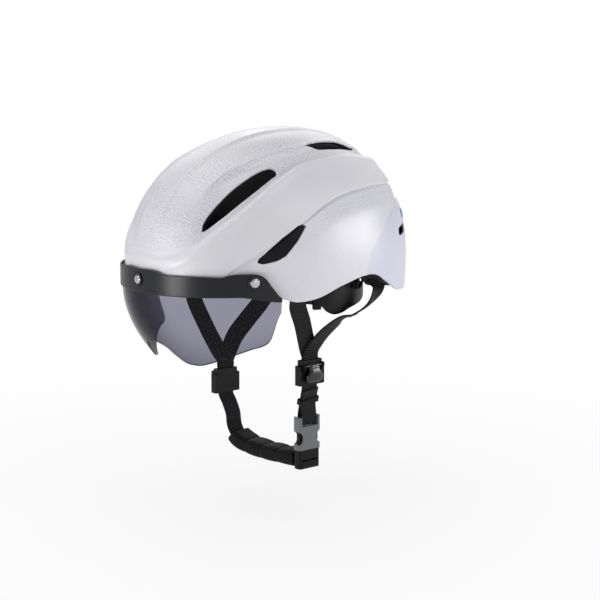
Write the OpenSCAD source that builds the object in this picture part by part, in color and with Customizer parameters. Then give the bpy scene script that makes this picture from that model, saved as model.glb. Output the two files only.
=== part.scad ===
// Road bike helmet with a magnetic goggle visor. Front is -Y, the wearer's left is +X, up is +Z.
// The origin is the centre of the head opening, level with the lowest line of the front brim.

/* [Shell form] */
// Half width of the shell at its widest
half_w = 104.5; // [100:0.5:110]
// Length of the shell ahead of its widest section
front_l = 160; // [154:1:168]
// Length of the shell behind its widest section
rear_l = 132; // [128:1:138]
// Height of the crown above the brow line
crown_h = 123; // [118:1:130]
// Height of the brow line, where the shell is widest, above the brim
brow_z = 31; // [29:0.5:33]
// Fullness of the plan outline, where 2 is an ellipse
plan_full = 2.15; // [2.1:0.05:2.25]
// Fullness of the rise from brow to crown, where 2 is an ellipse
rise_full = 2.2; // [2.1:0.05:2.3]
// Thickness of the outer shells
shell_t = 2; // [1.6:0.1:2.4]
// How far the lower shell lies below the face of the crown shell
lap_step = 1.2; // [0.6:0.1:1.6]
// How far the rear shell stands proud of the lower shell
rear_step = 1.6; // [0.8:0.1:2]
// Gap between shells, and between the shells and the foam
seam = 0.3; // [0.2:0.05:0.5]

/* [Shell relief] */
// Depth of the central panel below the side bands
panel_in = 1.5; // [0.8:0.1:2]
// Depth of the gutters that hold the vents, below the central panel
gutter_in = 3; // [1.5:0.1:3.5]
// Height of the rolled upper edge of the side bands
roll_h = 1; // [0.4:0.1:1.4]
// Height of the spine along the middle
spine_h = 1.6; // [0.6:0.1:2]
// Half width of the spine
spine_w = 16; // [12:1:20]

/* [Foam and head cavity] */
// Room between the fit belts and the foam at the sides of the head
belt_room = 4; // [2:0.5:5]
// Length of the cavity ahead of its widest section
head_front = 106; // [102:1:110]
// Length of the cavity behind its widest section
head_rear = 92; // [89:1:96]
// Height of the cavity above the brow line
head_h = 94; // [90:1:96]
// Width of the channels in the foam's inner face
channel_w = 15; // [11:0.5:18]

/* [Pads and headband] */
// Thickness of the comfort pads at their middle
pad_t = 6; // [4:0.5:7]
// Thickness of the headband
band_t = 1.4; // [1:0.1:1.8]
// Height of the headband
band_h = 15; // [12:0.5:17]

/* [Visor] */
// Clearance between the visor and the shell
visor_gap = 0.9; // [0.8:0.1:1.4]
// Thickness of the lens
lens_t = 1.8; // [1.4:0.1:2.2]
// Thickness of the black frame over the lens
frame_t = 1.6; // [1.2:0.1:2]
// Lower edge of the black frame
frame_low = 13; // [10:0.5:15]
// Depth of the lens lobes below the brim
lobe_z = 56; // [48:1:60]
// Depth of the nose notch below the brim
nose_z = 34; // [28:1:40]
// How far the lens draws in towards the cheeks at its lowest
draw_in = 30; // [20:1:32]
// Diameter of the visor's magnet buttons
magnet_d = 9; // [8:0.5:10]
// Width of the black ring round each magnet button
ring_w = 2; // [1.5:0.1:2.5]

/* [Fit system] */
// Distance of the fit belts from the axis that they turn about
belt_r = 75; // [74:0.5:76]
// Thickness of the fit belts
belt_t = 1.8; // [1.4:0.1:2]
// Height of the dial's centre
dial_z = -8; // [-10:0.5:-6]
// Diameter of the fit dial
dial_d = 28; // [24:0.5:30]
// Thickness of the fit dial
dial_t = 8; // [6:0.5:10]
// Pitch radius of the dial's pinion
pinion_r = 5; // [4.9:0.05:5.1]
// Number of teeth on the pinion
pinion_n = 10; // [10:2:12]
// Diameter of the dial's shaft
shaft_d = 4.4; // [3.6:0.1:4.8]

/* [Straps] */
// Width of the webbing
strap_w = 18; // [15:0.5:19]
// Thickness of the webbing
strap_t = 1.5; // [1.2:0.1:1.7]
// Width of a strap divider
divider_w = 30; // [26:0.5:32]
// Height of a strap divider
divider_h = 24; // [22:0.5:26]
// Thickness of the chin pad
chin_t = 16; // [13:0.5:18]
// Number of stuffed cells along the chin pad
chin_cells = 4; // [3:1:5]

/* [Buckle] */
// Width of the buckle
buckle_w = 27; // [25:0.5:29]
// Thickness of the buckle
buckle_t = 9.5; // [9:0.25:11]
// Height of the socket half
socket_h = 32; // [31:0.5:36]
// Height of the plug half below the socket
plug_h = 18; // [16:0.5:20]
// Wall of the socket
socket_wall = 1.6; // [1.3:0.1:1.8]

/* [Hidden] */
$fn = 48;
skirt_h = 200;      // the sides below the brow line follow a tall, nearly upright curve
fit = 0.3;          // clearance of parts that only lie beside each other
run = 0.05;         // radial clearance of a shaft in its bore
head_w = belt_r + belt_room;          // half width of the head cavity
cradle_room = 9;    // room between the belts and the foam at the rear
hub_y = head_rear - cradle_room - belt_r;    // the belts turn about the upright line x = 0, y = hub_y
tooth_angle = 360/pinion_n*pinion_r/belt_r;  // turn of a belt for one tooth
mesh_depth = 2*pinion_r/pinion_n;            // module of the teeth

// Edges and creases of the shell as [plan angle, rise angle], from the front (-90) to the rear (90)
rim_line = [[-90, -3.9], [-52, -3.9], [-38, -4.2], [-27, -5.2], [-21, -6.3], [-13, -5.8], [-3, -3.5],
  [8, -2.1], [16, -2.4], [23, -4.4], [36, -7.6], [90, -8.5]];
crease_line = [[-90, -3.9], [-54, -3.9], [-45, 1.6], [-30, 11.2], [-19, 19.6], [-9, 26.9], [2, 31.4],
  [22, 33.6], [51, 32.2], [90, 31]];
rear_line = [[9, -1.8], [12, 4.8], [18, 10.8], [26, 16.4], [38, 20.6], [54, 22.8], [90, 22]];
groove_line = [[-90, 6], [-76, 5.2], [-62, 9.3], [-49, 19.5], [-40, 28.2], [-29, 40], [-14, 49.5],
  [2, 52.2], [19, 52.9], [37, 50.4], [60, 46.5], [90, 45]];
hood_line = [[-90, 36], [-62, 38], [-57, 44.2], [-51, 48.2], [-39, 54.5], [-27, 58.6], [-10, 62],
  [10, 65], [30, 63.5], [45, 58], [90, 54]];
// Middle lines of the vents as [plan angle, rise angle, half width]
front_vent = [[-58.7, 18.2, 2.2], [-55.5, 22.2, 4.5], [-52, 26.9, 6.5], [-47, 33.2, 7.8], [-41, 39.5, 7.9],
  [-35.5, 44.4, 7], [-31.8, 46.5, 5.8]];
top_vent = [[-8.3, 63, 0.6], [-3, 63.2, 2.2], [5, 63, 3.8], [15, 62.9, 4.3], [25, 62.1, 4.2],
  [33, 61.1, 3.8], [47.3, 56.2, 1.4]];
rear_vent = [[38, 9.8, 4], [46, 10.4, 4.6], [54, 10.8, 4]];
// Outline of the side vent as [y, z]
side_vent = [[-95, 43], [-94, 47], [-75, 61], [-57, 73], [-49, 75.5], [-46, 73.5], [-56, 61],
  [-69, 48], [-77, 44], [-90, 41.5]];

function ease(v, a, b) = let (q = max(0, min(1, (v - a)/(b - a)))) q*q*(3 - 2*q);
// Smooth curve through the points of a line, at x
function curve(x, p) = let (
  n = len(p) - 1,
  v = max(p[0][0], min(p[n][0], x)),
  i = max([for (k = [0:n - 1]) if (k == 0 || p[k][0] <= v) k]),
  slope = function (k) k == 0 || k == n ? 0 : (p[k + 1][1] - p[k - 1][1])/(p[k + 1][0] - p[k - 1][0]),
  h = p[i + 1][0] - p[i][0], q = (v - p[i][0])/h)
  (2*q^3 - 3*q^2 + 1)*p[i][1] + (q^3 - 2*q^2 + q)*h*slope(i)
  + (3*q^2 - 2*q^3)*p[i + 1][1] + (q^3 - q^2)*h*slope(i + 1);
// Plan angle folded onto the left half
function half(u) = u > 90 ? 180 - u : u;
// Point of a rounded form with half width b, lengths f and r, and height h, at plan angle u and rise angle t
function rounded(u, t, b, f, r, h) = let (
  a = sin(u) < 0 ? f : r,
  k = pow(pow(abs(cos(u)), plan_full) + pow(abs(sin(u)), plan_full), -1/plan_full)
    *pow(max(0, cos(t)), 2/rise_full),
  z = sign(t)*pow(abs(sin(t)), 2/rise_full))
  [b*k*cos(u), a*k*sin(u), brow_z + z*(t >= 0 ? h : skirt_h)];
// The shell's outer form, drawn in by off
function form(u, t, off = 0) = rounded(u, t, half_w - off, front_l - off, rear_l - off, crown_h - off);
// The head cavity, drawn in by off
function cavity(u, t, off = 0) = rounded(u, t, head_w - off, head_front - off, head_rear - off, head_h - off);
// Rise angle of a height below the brow line
function rise_of(z) = -asin(pow(max(0, brow_z - z)/skirt_h, rise_full/2));
function rim_z(u) = form(u, curve(half(u), rim_line))[2];
function hood_t(h, g) = max(g + 8, curve(h, hood_line));
// Relief of the crown shell: rolled band edge, sunk panel, gutters and spine
function relief(u, t) = let (
  h = half(u), g = curve(h, groove_line), k = hood_t(h, g), inside = ease(t, g - 1, g + 2))
  roll_h*exp(-pow((t - g + 2.5)/2.2, 2)) - panel_in*inside
  - gutter_in*inside*(1 - ease(t, k - 5, k))*ease(h, -64, -54)*(1 - ease(h, 50, 75))
  + spine_h*ease(t, 10, 24)*(1 - ease(abs(form(u, t)[0]), spine_w - 4, spine_w + 3));
// How far the lower shell lies inside the form
function lower_in(u, t) = let (h = half(u))
  lap_step*(1 - ease(curve(h, crease_line) - t, 2, 12))
  + rear_step*ease(h, 20, 45)*(1 - ease(t - curve(h, rear_line), 0, 7));

// The shells and the foam share their columns of points, so that their flat faces lie side by side
ring_columns = [-90:6:264];
// Two faces between four of the points p, split along the shorter diagonal
function wall_faces(p, a, b, c, d) = norm(p[a] - p[c]) < norm(p[b] - p[d]) + 0.001
  ? [[a, b, c], [a, c, d]] : [[a, b, d], [b, c, d]];
// Sheet between two grids of points. Rows rise, columns turn from +X towards +Y.
module sheet_solid(outer, inner) {
  rows = len(outer); cols = len(outer[0]); all = rows*cols;
  p = [for (g = [outer, inner]) for (row = g) each row];
  o = function (i, j) i*cols + j;
  n = function (i, j) all + i*cols + j;
  polyhedron(p, concat(
    [for (i = [0:rows - 2]) for (j = [0:cols - 2])
      each wall_faces(p, o(i, j), o(i + 1, j), o(i + 1, j + 1), o(i, j + 1))],
    [for (i = [0:rows - 2]) for (j = [0:cols - 2])
      each wall_faces(p, n(i, j), n(i, j + 1), n(i + 1, j + 1), n(i + 1, j))],
    [for (j = [0:cols - 2]) each wall_faces(p, o(0, j), o(0, j + 1), n(0, j + 1), n(0, j))],
    [for (j = [0:cols - 2])
      each wall_faces(p, o(rows - 1, j + 1), o(rows - 1, j), n(rows - 1, j), n(rows - 1, j + 1))],
    [for (i = [0:rows - 2]) each wall_faces(p, o(i + 1, 0), o(i, 0), n(i, 0), n(i + 1, 0))],
    [for (i = [0:rows - 2])
      each wall_faces(p, o(i, cols - 1), o(i + 1, cols - 1), n(i + 1, cols - 1), n(i, cols - 1))]));
}
// Closed dome: outer and inner rings of the same number of columns, each closed by its top point
module dome_solid(outer, inner, top_out, top_in) {
  cols = len(outer[0]); a = len(outer)*cols; b = a + len(inner)*cols;
  p = concat([for (g = [outer, inner]) for (row = g) each row], [top_out, top_in]);
  o = function (i, j) i*cols + j % cols;
  n = function (i, j) a + i*cols + j % cols;
  polyhedron(p, concat(
    [for (i = [0:len(outer) - 2]) for (j = [0:cols - 1])
      each wall_faces(p, o(i, j), o(i + 1, j), o(i + 1, j + 1), o(i, j + 1))],
    [for (i = [0:len(inner) - 2]) for (j = [0:cols - 1])
      each wall_faces(p, n(i, j), n(i, j + 1), n(i + 1, j + 1), n(i + 1, j))],
    [for (j = [0:cols - 1]) each wall_faces(p, o(0, j), o(0, j + 1), n(0, j + 1), n(0, j))],
    [for (j = [0:cols - 1]) [o(len(outer) - 1, j), b, o(len(outer) - 1, j + 1)]],
    [for (j = [0:cols - 1]) [n(len(inner) - 1, j), n(len(inner) - 1, j + 1), b + 1]]));
}
// Patch of a curved skin: s(u, t, depth) gives its points, between depths d0 (outside) and d1
module patch(us, ts, s, d0, d1) {
  sheet_solid([for (t = ts) [for (u = us) s(u, t, d0)]], [for (t = ts) [for (u = us) s(u, t, d1)]]);
}
function span(a, b, n) = [for (i = [0:n]) a + (b - a)*i/n];

// Rise angles of the crown shell's rows, which follow its creases
function crown_rows(u) = let (h = half(u), e = curve(h, crease_line), g = curve(h, groove_line),
  k = hood_t(h, g)) concat([for (q = [0, 0.5, 1]) e + (g - 2.5 - e)*q],
    [g - 0.6, g + 2, (g + k)/2 - 1.5, k - 5, k - 2, k], [for (q = [0.33, 0.67]) k + (90 - k)*q]);
function crown_point(u, t, d) = form(u, t, d - relief(u, t));
module crown_skin(d0, d1) {
  ring = function (d) [for (i = [0:len(crown_rows(0)) - 1])
    [for (u = ring_columns) crown_point(u, crown_rows(u)[i], d)]];
  top = function (d) [0, 0, crown_point(0, 90, d)[2]];
  dome_solid(ring(d0), ring(d1), top(d0), top(d1));
}
// One stretch of a vent: a slot that runs from outside the shell in to the head cavity
module vent_bore(line, deep = 0.62) {
  focus = [0, 0, brow_z + head_h/4];
  for (i = [0:len(line) - 2]) hull() for (k = [i, i + 1]) let (p = form(line[k][0], line[k][1]))
    for (reach = [deep, 1.1]) translate(focus + (p - focus)*reach) sphere(r = line[k][2], $fn = 8);
}
module both_sides() { children(); mirror([1, 0, 0]) children(); }
module vents(deep = 0.62) both_sides() {
  vent_bore(front_vent, deep);
  vent_bore(top_vent, deep);
}
module side_vent_prism(grow = 0) both_sides() translate([half_w/2, 0, 0]) rotate([90, 0, 90])
  linear_extrude(half_w) offset(delta = grow) polygon(side_vent);

module crown_shell() color("whitesmoke") difference() {
  crown_skin(0, shell_t);
  vents();
}
rear_u = rear_line[0][0];   // plan angle where the rear shell begins at the rim
module lower_shell() color("lavender") difference() {
  us = [each [-48:6:6], rear_u, each [12:6:168], 180 - rear_u, each [174:6:228]];
  point = function (u, q, d) let (h = half(u),
    low = h < rear_u ? curve(h, rim_line) : curve(h, rear_line) + seam/2,
    high = curve(h, crease_line) - seam/2, t = low + (high - low)*q) form(u, t, d + lower_in(u, t));
  patch(us, [0, 0.22, 0.45, 0.7, 0.9, 1], point, 0, shell_t);
  side_vent_prism();
}
module rear_skin(d0, d1) {
  point = function (u, q, d) let (h = half(u), low = curve(h, rim_line),
    t = low + (curve(h, rear_line) - seam/2 - low)*q) form(u, t, d);
  patch([rear_u, each [12:6:168], 180 - rear_u], [0, 0.3, 0.6, 0.82, 1], point, d0, d1);
}
accent_u = 47;           // plan angle of the accent's ends
accent_t = [13.6, 19];   // rise angles of its lower and upper edge
module accent_block(d0, d1, grow = 0) patch(span(accent_u - grow, 180 - accent_u + grow, 14),
  [accent_t[0] - grow, accent_t[1] + grow],
  function (u, t, d) form(u, t, d), d0, d1);
module rear_shell() color("lavender") difference() {
  rear_skin(0, shell_t);
  accent_block(-4, shell_t + 3, seam/2);
  both_sides() vent_bore(rear_vent, 0.7);
}
module rear_accent() color("steelblue") accent_block(0.5, shell_t);
module side_vent_inserts() color("dimgray") intersection() {
  both_sides() patch(span(-42, -12, 5), span(1, 23, 4),
    function (u, t, d) form(u, t, d + lower_in(u, t)), shell_t*0.6, shell_t + 1.6);
  side_vent_prism(-seam);
}

// Foam liner: its outside follows the shells, its inside is the head cavity
liner_in = shell_t + seam + 0.2;
function liner_out(u, t) = let (h = half(u))
  t > curve(h, crease_line) ? crown_point(u, t, liner_in)
  : form(u, t, liner_in + (h > rear_u && t < curve(h, rear_line) ? 0 : lap_step + rear_step*ease(h, 20, 45)));
function liner_rows(u) = let (h = half(u), low = curve(h, rim_line) + 1.2,
  r = max(low + 1, h > rear_u ? curve(h, rear_line) : (low + curve(h, crease_line))/2),
  c = max(r + 1, curve(h, crease_line)), rows = crown_rows(u))
  [low, r - 0.9, r + 0.1, c - 0.1, c + 0.9, max(c + 1.6, rows[1]),
    each [for (i = [2:len(rows) - 1]) rows[i]]];
// Rise angles of the inner face, whose first row is the foam's lower edge
function cavity_rows(u) = [rise_of(rim_z(u) + 4.5), 0, 11, 22, 34, 48, 66];
module liner_body() dome_solid(
  [for (i = [0:len(liner_rows(0)) - 1]) [for (u = ring_columns) liner_out(u, liner_rows(u)[i])]],
  [for (i = [0:len(cavity_rows(0)) - 1]) [for (u = ring_columns) cavity(u, cavity_rows(u)[i])]],
  [0, 0, crown_point(0, 90, liner_in)[2]], [0, 0, brow_z + head_h]);
// Long channels that carry air from the front to the rear inside the foam
module air_channel(side) for (k = [0:3]) hull() for (t = [28 + 31*k, 28 + 31*(k + 1)])
  let (p = rounded(t < 90 ? -90 : 90, t < 90 ? t : 180 - t, head_w, head_front, head_rear, head_h))
    translate([side*(channel_w*1.9), p[1], p[2] - 3]) sphere(d = channel_w, $fn = 8);
module foam_liner() color([0.12, 0.12, 0.13]) difference() {
  liner_body();
  vents(0.4);
  both_sides() vent_bore(rear_vent, 0.55);
  intersection() {
    side_vent_prism(0.5);
    both_sides() patch(span(-42, -8, 6), span(-2, 26, 5),
      function (u, t, d) form(u, t, d), -5, shell_t + lap_step + 9);
  }
  for (side = [-1, 1]) air_channel(side);
  for (s = [-1, 1]) {
    translate([s*anchor_front[0], anchor_front[1], anchor_front[2]]) anchor_pocket();
    translate([s*anchor_rear[0], anchor_rear[1], anchor_rear[2]]) anchor_pocket();
    translate([s*arm_x, head_rear - 12, arm_top - 6]) rotate([-90, 0, 0])
      cylinder(d = peg_d + 2*fit, h = 26, $fn = 16);
  }
  for (m = magnet_places) magnet_at(m, magnet_depth + fit) cylinder(d = magnet_d + 3*fit, h = 12, $fn = 16);
  // notch for the fit dial in the rear edge
  to_dial() translate([0, 0, cover_face - hub_y - 1]) cylinder(d = dial_d + 4, h = dial_t + 5, $fn = 24);
}

// Comfort pads of soft cloth over foam, hooked to the liner. Each one is full at its middle.
pad_seat = 1;     // they lie this far off the rounded cavity, clear of the foam's flat faces
edge_share = 0.35;    // thickness of a pad's edge, as a share of its middle's
module soft_pad(u0, u1, t0, t1, depth, n = 6, m = 5) {
  inside = function (v, a, b) min(v - a, b - v)/(b - a);
  full = function (u, t) edge_share
    + (1 - edge_share)*ease(inside(u, u0, u1), 0, 0.3)*ease(inside(t, t0, t1), 0, 0.4);
  patch(span(u0, u1, n), span(t0, t1, m), function (u, t, d) cavity(u, t, depth + d*full(u, t)), 0, pad_t);
}
band_low = 12;    // height of the headband's lower edge
module brow_pad() color([0.13, 0.13, 0.14])
  soft_pad(-142, -38, rise_of(band_low + 1), 4, pad_seat + band_t + fit, 20, 4);
hook_t = 0.8;     // thickness of a hook patch
// Middles of the hooked pads as [plan angle, rise angle], and their half sizes
crown_pad_at = [[-164, 38], [-16, 38], [75, 38], [105, 38], [-73, 46], [-107, 46]];
crown_pad_half = [10, 12];
side_pad_at = [[6, 11], [174, 11]];
side_pad_half = [9, 7];
module hooked_pads(places, size) color([0.13, 0.13, 0.14]) for (p = places)
  soft_pad(p[0] - size[0], p[0] + size[0], p[1] - size[1], p[1] + size[1], pad_seat + hook_t + fit, 4, 4);
module crown_pads() hooked_pads(crown_pad_at, crown_pad_half);
module side_pads() hooked_pads(side_pad_at, side_pad_half);
module pad_hooks() color("black") for (p = concat(crown_pad_at, side_pad_at))
  patch([p[0] - 3.5, p[0] + 3.5], [p[1] - 3.5, p[1] + 3.5],
    function (u, t, d) cavity(u, t, d), pad_seat, pad_seat + hook_t);
module headband() color([0.1, 0.1, 0.1])
  patch(span(-172, -8, 28), [rise_of(band_low), rise_of(band_low + band_h)],
    function (u, t, d) cavity(u, t, d), pad_seat - fit, pad_seat - fit + band_t);

// Visor: a wrapped lens below a black frame that hugs the shell, held by three magnet buttons
function visor_point(u, z, d) = let (
  drop = max(0, frame_low - z), q = drop/(frame_low + lobe_z),
  b = half_w + visor_gap - 1.1*draw_in*q*q + d, a = front_l + visor_gap - draw_in*q*q + d,
  k = pow(pow(abs(cos(u)), plan_full) + pow(abs(sin(u)), plan_full), -1/plan_full))
  [b*k*cos(u), a*k*sin(u), z];
visor_end = 27;   // plan angle where the visor's sides end
frame_seat = 0.25;   // between the lens and the frame bonded to it
frame_droop = 6;     // the frame's lower edge hangs this much lower at the sides
// Top and bottom edges as [angle from the middle, height]
frame_top = [[0, 34.8], [7, 35.2], [12, 34.8], [16, 32.2], [24, 32], [34, 31.9], [41.5, 31.4], [45.5, 33.6],
  [50, 34], [54.5, 33.2], [57, 29.5], [60, 19], [63, 11]];
lens_low = [[0, -nose_z], [5, -nose_z - 1.2], [10, -nose_z - 4.8], [14, -lobe_z + 9.5], [18.5, -lobe_z + 2.2],
  [23, -lobe_z + 0.2], [28, -lobe_z], [38, -lobe_z + 5.4], [46, -lobe_z + 11.5], [53, -lobe_z + 17],
  [58, -lobe_z + 20.6], [60, -29], [61.5, -11], [63, -3]];
module visor_skin(low, high, rows, d0, d1) {
  us = span(visor_end - 180, -visor_end, 36);
  point = function (u, q, d) let (w = abs(u + 90)) visor_point(u, low(w) + (high(w) - low(w))*q, d);
  patch(us, span(0, 1, rows), point, d1, d0);
}
// Places of the magnets as [plan angle, height]
magnet_places = [[-90, 25], [-37, 26], [-143, 26]];
magnet_h = 4;                                  // height of a magnet in the foam
magnet_depth = shell_t + lap_step + 0.1 + magnet_h;   // depth of its inner face
// Stands its children on a magnet's place, facing out, at a depth below the shell's form
module magnet_at(m, depth = 0) {
  p = visor_point(m[0], m[1], -visor_gap);
  q = visor_point(m[0] + 1, m[1], -visor_gap);
  translate(p) rotate([0, 90, atan2(q[1] - p[1], q[0] - p[0]) - 90]) translate([0, 0, -depth]) children();
}
module magnet_holes() for (m = magnet_places) magnet_at(m, 4) cylinder(d = magnet_d + fit, h = 14);
module visor_lens() color([0.5, 0.5, 0.62, 0.6]) difference() {
  visor_skin(function (w) curve(w, lens_low), function (w) curve(w, frame_top) - 1.5, 5, 0, lens_t);
  magnet_holes();
}
module visor_frame() color([0.08, 0.08, 0.09]) difference() {
  visor_skin(function (w) frame_low - ease(w, 47, 63)*frame_droop, function (w) curve(w, frame_top), 2,
    lens_t + frame_seat, lens_t + frame_seat + frame_t);
  magnet_holes();
}
visor_face = visor_gap + lens_t + frame_seat + frame_t;   // from the shell's form to the frame's face
module visor_magnets() color("silver") for (m = magnet_places) magnet_at(m)
  translate([0, 0, visor_gap + 0.2]) {
    cylinder(d = magnet_d, h = visor_face + 0.6 - visor_gap);
    translate([0, 0, visor_face + 0.6 - visor_gap]) cylinder(d1 = magnet_d, d2 = magnet_d - 2, h = 0.8);
  }
module magnet_rings() color("black") for (m = magnet_places) magnet_at(m) translate([0, 0, visor_face + 0.25])
  difference() {
    cylinder(d = magnet_d + fit + 2*ring_w, h = 1.1);
    translate([0, 0, -1]) cylinder(d = magnet_d + fit, h = 4);
  }
module shell_magnets() color("silver") for (m = magnet_places)
  magnet_at(m, magnet_depth) cylinder(d = magnet_d, h = magnet_h);

// Fit belts: plates on a round line about the head, each with a rack of teeth that the dial's pinion drives
function on_belt(a, z, d) = [(belt_r + d)*cos(a), hub_y + (belt_r + d)*sin(a), z];
rack_root = pinion_r + 1.15*mesh_depth;
rack_tip = pinion_r - 0.85*mesh_depth;
rack_back = rack_root + 4;
function tooth_steps(k) = let (c = 90 + (k + 0.5)*tooth_angle, w = tooth_angle)
  [[c - 0.33*w, rack_root], [c - 0.1*w, rack_tip], [c + 0.1*w, rack_tip], [c + 0.33*w, rack_root]];
// Columns as [angle, lower edge, upper edge], measured from the dial's height, for the left belt
wing = [[-30, 3, 8.5], [-21, 2.6, 8.6], [-17, 0.4, 9.6], [-12, -0.6, 10.4], [-8, -5.6, 12.6], [-2, -9, 15],
  [6, -8.4, 17], [14, -5.6, 14], [24, -4, 11], [34, -2.4, 10.6], [40, -1, 13], [45, 0, 15.4],
  [49, 1.4, 14.6], [53, 3, 11.4]];
arm = [for (k = [-8:4]) each [for (s = tooth_steps(k)) [s[0], s[1], rack_back]]];
rack_start = [for (a = [58, 62, 66]) [a, rack_root, rack_back]];
rack_end = [[105, rack_root, rack_back]];
left_columns = concat(wing, rack_start, arm, rack_end);
module belt_plate(columns, up) {
  edge = function (i, j) let (c = columns[j]) dial_z + (up ? c[i + 1] : -c[2 - i]);
  grid = function (d) [for (i = [0, 1])
    [for (j = [0:len(columns) - 1]) on_belt(columns[j][0], edge(i, j), d)]];
  sheet_solid(grid(belt_t/2), grid(-belt_t/2));
}
// The right belt's wing follows the left one, and its rack faces up from below the pinion
right_columns = concat([for (c = wing) [c[0], -c[2], -c[1]]], rack_start, arm, rack_end);
module belt_left() color([0.07, 0.07, 0.08]) belt_plate(left_columns, true);
module belt_right() color([0.07, 0.07, 0.08]) mirror([1, 0, 0]) belt_plate(right_columns, false);
belt_pad_in = 1.5;    // a belt's pad ends this far inside the wing's edges
belt_pad_t = 4;
module belt_pad() {
  point = function (a, q, d) let (low = curve(a, [for (c = wing) [c[0], c[1]]]) + belt_pad_in,
    high = curve(a, [for (c = wing) [c[0], c[2]]]) - belt_pad_in,
    full = edge_share + (1 - edge_share)*ease(min(q, 1 - q), 0, 0.3)*ease(min(a + 12, 52 - a), 0, 6))
    on_belt(a, dial_z + low + (high - low)*q, -belt_t/2 - fit - d*full);
  patch(span(-11, 51, 13), span(0, 1, 4), point, 0, belt_pad_t);
}
module belt_pad_left() color([0.13, 0.13, 0.14]) belt_pad();
module belt_pad_right() color([0.13, 0.13, 0.14]) mirror([1, 0, 0]) belt_pad();
// A stretch of round wall about the belts' axis
module round_wall(r0, r1, a0, a1, z0, z1) translate([0, hub_y, dial_z + z0]) rotate([0, 0, a0])
  rotate_extrude(angle = a1 - a0, $fn = 180) translate([r0, 0]) square([r1 - r0, z1 - z0]);
case_h = rack_back + 0.5;     // half height of the room for the racks
case_a = 20;                  // half angle of the case
case_out = belt_r + belt_t/2 + fit;
case_in = belt_r - belt_t/2 - fit;
// Loops at the temples that the belts' front tongues slide through
guide_a = [-19, -13.5];       // where they stand, as angles on the belts' line
guide_z = [-2.6, 14.4];       // their height, measured from the dial's
guide_top = 24;               // top of the tab that is fixed to the foam
guide_w = 1.3;                // wall of a loop
module temple_guides() color([0.1, 0.1, 0.1]) both_sides() {
  in = case_in - guide_w; out = case_out + guide_w; low = guide_z[0]; high = guide_z[1];
  for (w = [[case_out, out, low, guide_top], [in, case_in, low, high], [in, out, low, low + guide_w],
    [in, out, high - guide_w, high]]) round_wall(w[0], w[1], guide_a[0], guide_a[1], w[2], w[3]);
}
module to_dial() translate([0, hub_y, dial_z]) rotate([-90, 0, 0]) children();
case_wall = 2;
screw_a = 17;                 // the case's screws stand this far to each side of the dial
case_screw_d = 1.5;
reach = belt_r + 20;          // longer than anything about the belts' axis
// Stands its children on the case's screws, along them
module to_screws() for (a = [-screw_a, screw_a])
  translate([0, hub_y, dial_z]) rotate([0, 0, a]) rotate([-90, 0, 0]) children();
module case_arc(r0, r1, z0, z1) round_wall(r0, r1, 90 - case_a, 90 + case_a, z0, z1);
module cradle_housing() color([0.1, 0.1, 0.1]) difference() {
  union() {
    case_arc(case_in - case_wall, case_in, -case_h - case_wall, case_h + case_wall);
    case_arc(case_in - 1, case_out, case_h, case_h + case_wall);
    case_arc(case_in - 1, case_out, -case_h - case_wall, -case_h);
  }
  to_screws() cylinder(d = case_screw_d + 2*run, h = reach);
}
module cradle_cover() color([0.06, 0.06, 0.07]) difference() {
  case_arc(cover_in, cover_in + case_wall, -case_h - case_wall, case_h + case_wall);
  to_dial() cylinder(d = shaft_d + 2*run, h = reach);
  to_screws() cylinder(d = case_screw_d + 2*fit, h = reach);
}
module cradle_screws() color("silver") to_screws() {
  translate([0, 0, case_in - case_wall + 0.2]) cylinder(d = case_screw_d, h = cover_in - case_in + 2*case_wall);
  translate([0, 0, cover_in + case_wall + 0.1]) difference() {
    cylinder(d = 4, h = 1.4);
    translate([-2.5, -0.35, 0.8]) cube([5, 0.7, 2]);
  }
}
cover_in = case_out + 0.1;    // the cover's inner face
arm_x = 13;                   // the arms stand this far to each side
arm_w = 8;
arm_top = 34;
peg_d = 6;
// Two upright straps that hang the cradle from pegs pressed into the foam
module cradle_arms() color([0.1, 0.1, 0.1]) for (s = [-1, 1]) {
  low = [s*arm_x, hub_y + sqrt((case_in - 1)^2 - arm_x^2), dial_z + case_h + case_wall + 2.1];
  high = [s*arm_x, cavity(90, 2)[1] - 3.5, arm_top - 4];
  hull() for (p = [low, high]) translate(p) cube([arm_w, 1.6, 4], center = true);
  translate([s*arm_x, high[1], arm_top - 6]) rotate([-90, 0, 0]) cylinder(d = peg_d, h = 9, $fn = 24);
}
module cradle_pad() color([0.13, 0.13, 0.14]) {
  full = function (a, q) edge_share
    + (1 - edge_share)*ease(min(q, 1 - q), 0, 0.3)*ease(case_a - 2 - abs(a - 90), 0, 8);
  point = function (a, q, d) on_belt(a, dial_z + (q - 0.5)*2*case_h,
    case_in - belt_r - case_wall - fit - d*full(a, q));
  patch(span(92 - case_a, 88 + case_a, 8), span(0, 1, 4), point, 0, belt_pad_t - 0.5);
}
cover_face = hub_y + cover_in + case_wall;    // the rear face of the cover at the dial
pinion_teeth = [for (k = [0:pinion_n - 1]) let (c = 90 + k*360/pinion_n, w = 360/pinion_n)
  each [for (s = [[-0.36, -1.2], [-0.1, 0.8], [0.1, 0.8], [0.36, -1.2]]) let (r = pinion_r + s[1]*mesh_depth)
    [r*cos(c + s[0]*w), r*sin(c + s[0]*w)]]];
knob_base = cover_face - hub_y + fit;   // distance of the knob's inner face from the belts' axis
shaft_grip = 3;                         // length of the shaft inside the knob
screw_d = 2;
module dial_pinion() color("gainsboro") to_dial() difference() {
  union() {
    translate([0, 0, belt_r - belt_t/2]) linear_extrude(belt_t) polygon(pinion_teeth);
    translate([0, 0, belt_r]) cylinder(d = shaft_d, h = knob_base + shaft_grip - belt_r);
  }
  translate([0, 0, belt_r + belt_t/2]) cylinder(d = screw_d + 2*run, h = knob_base);
}
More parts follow.
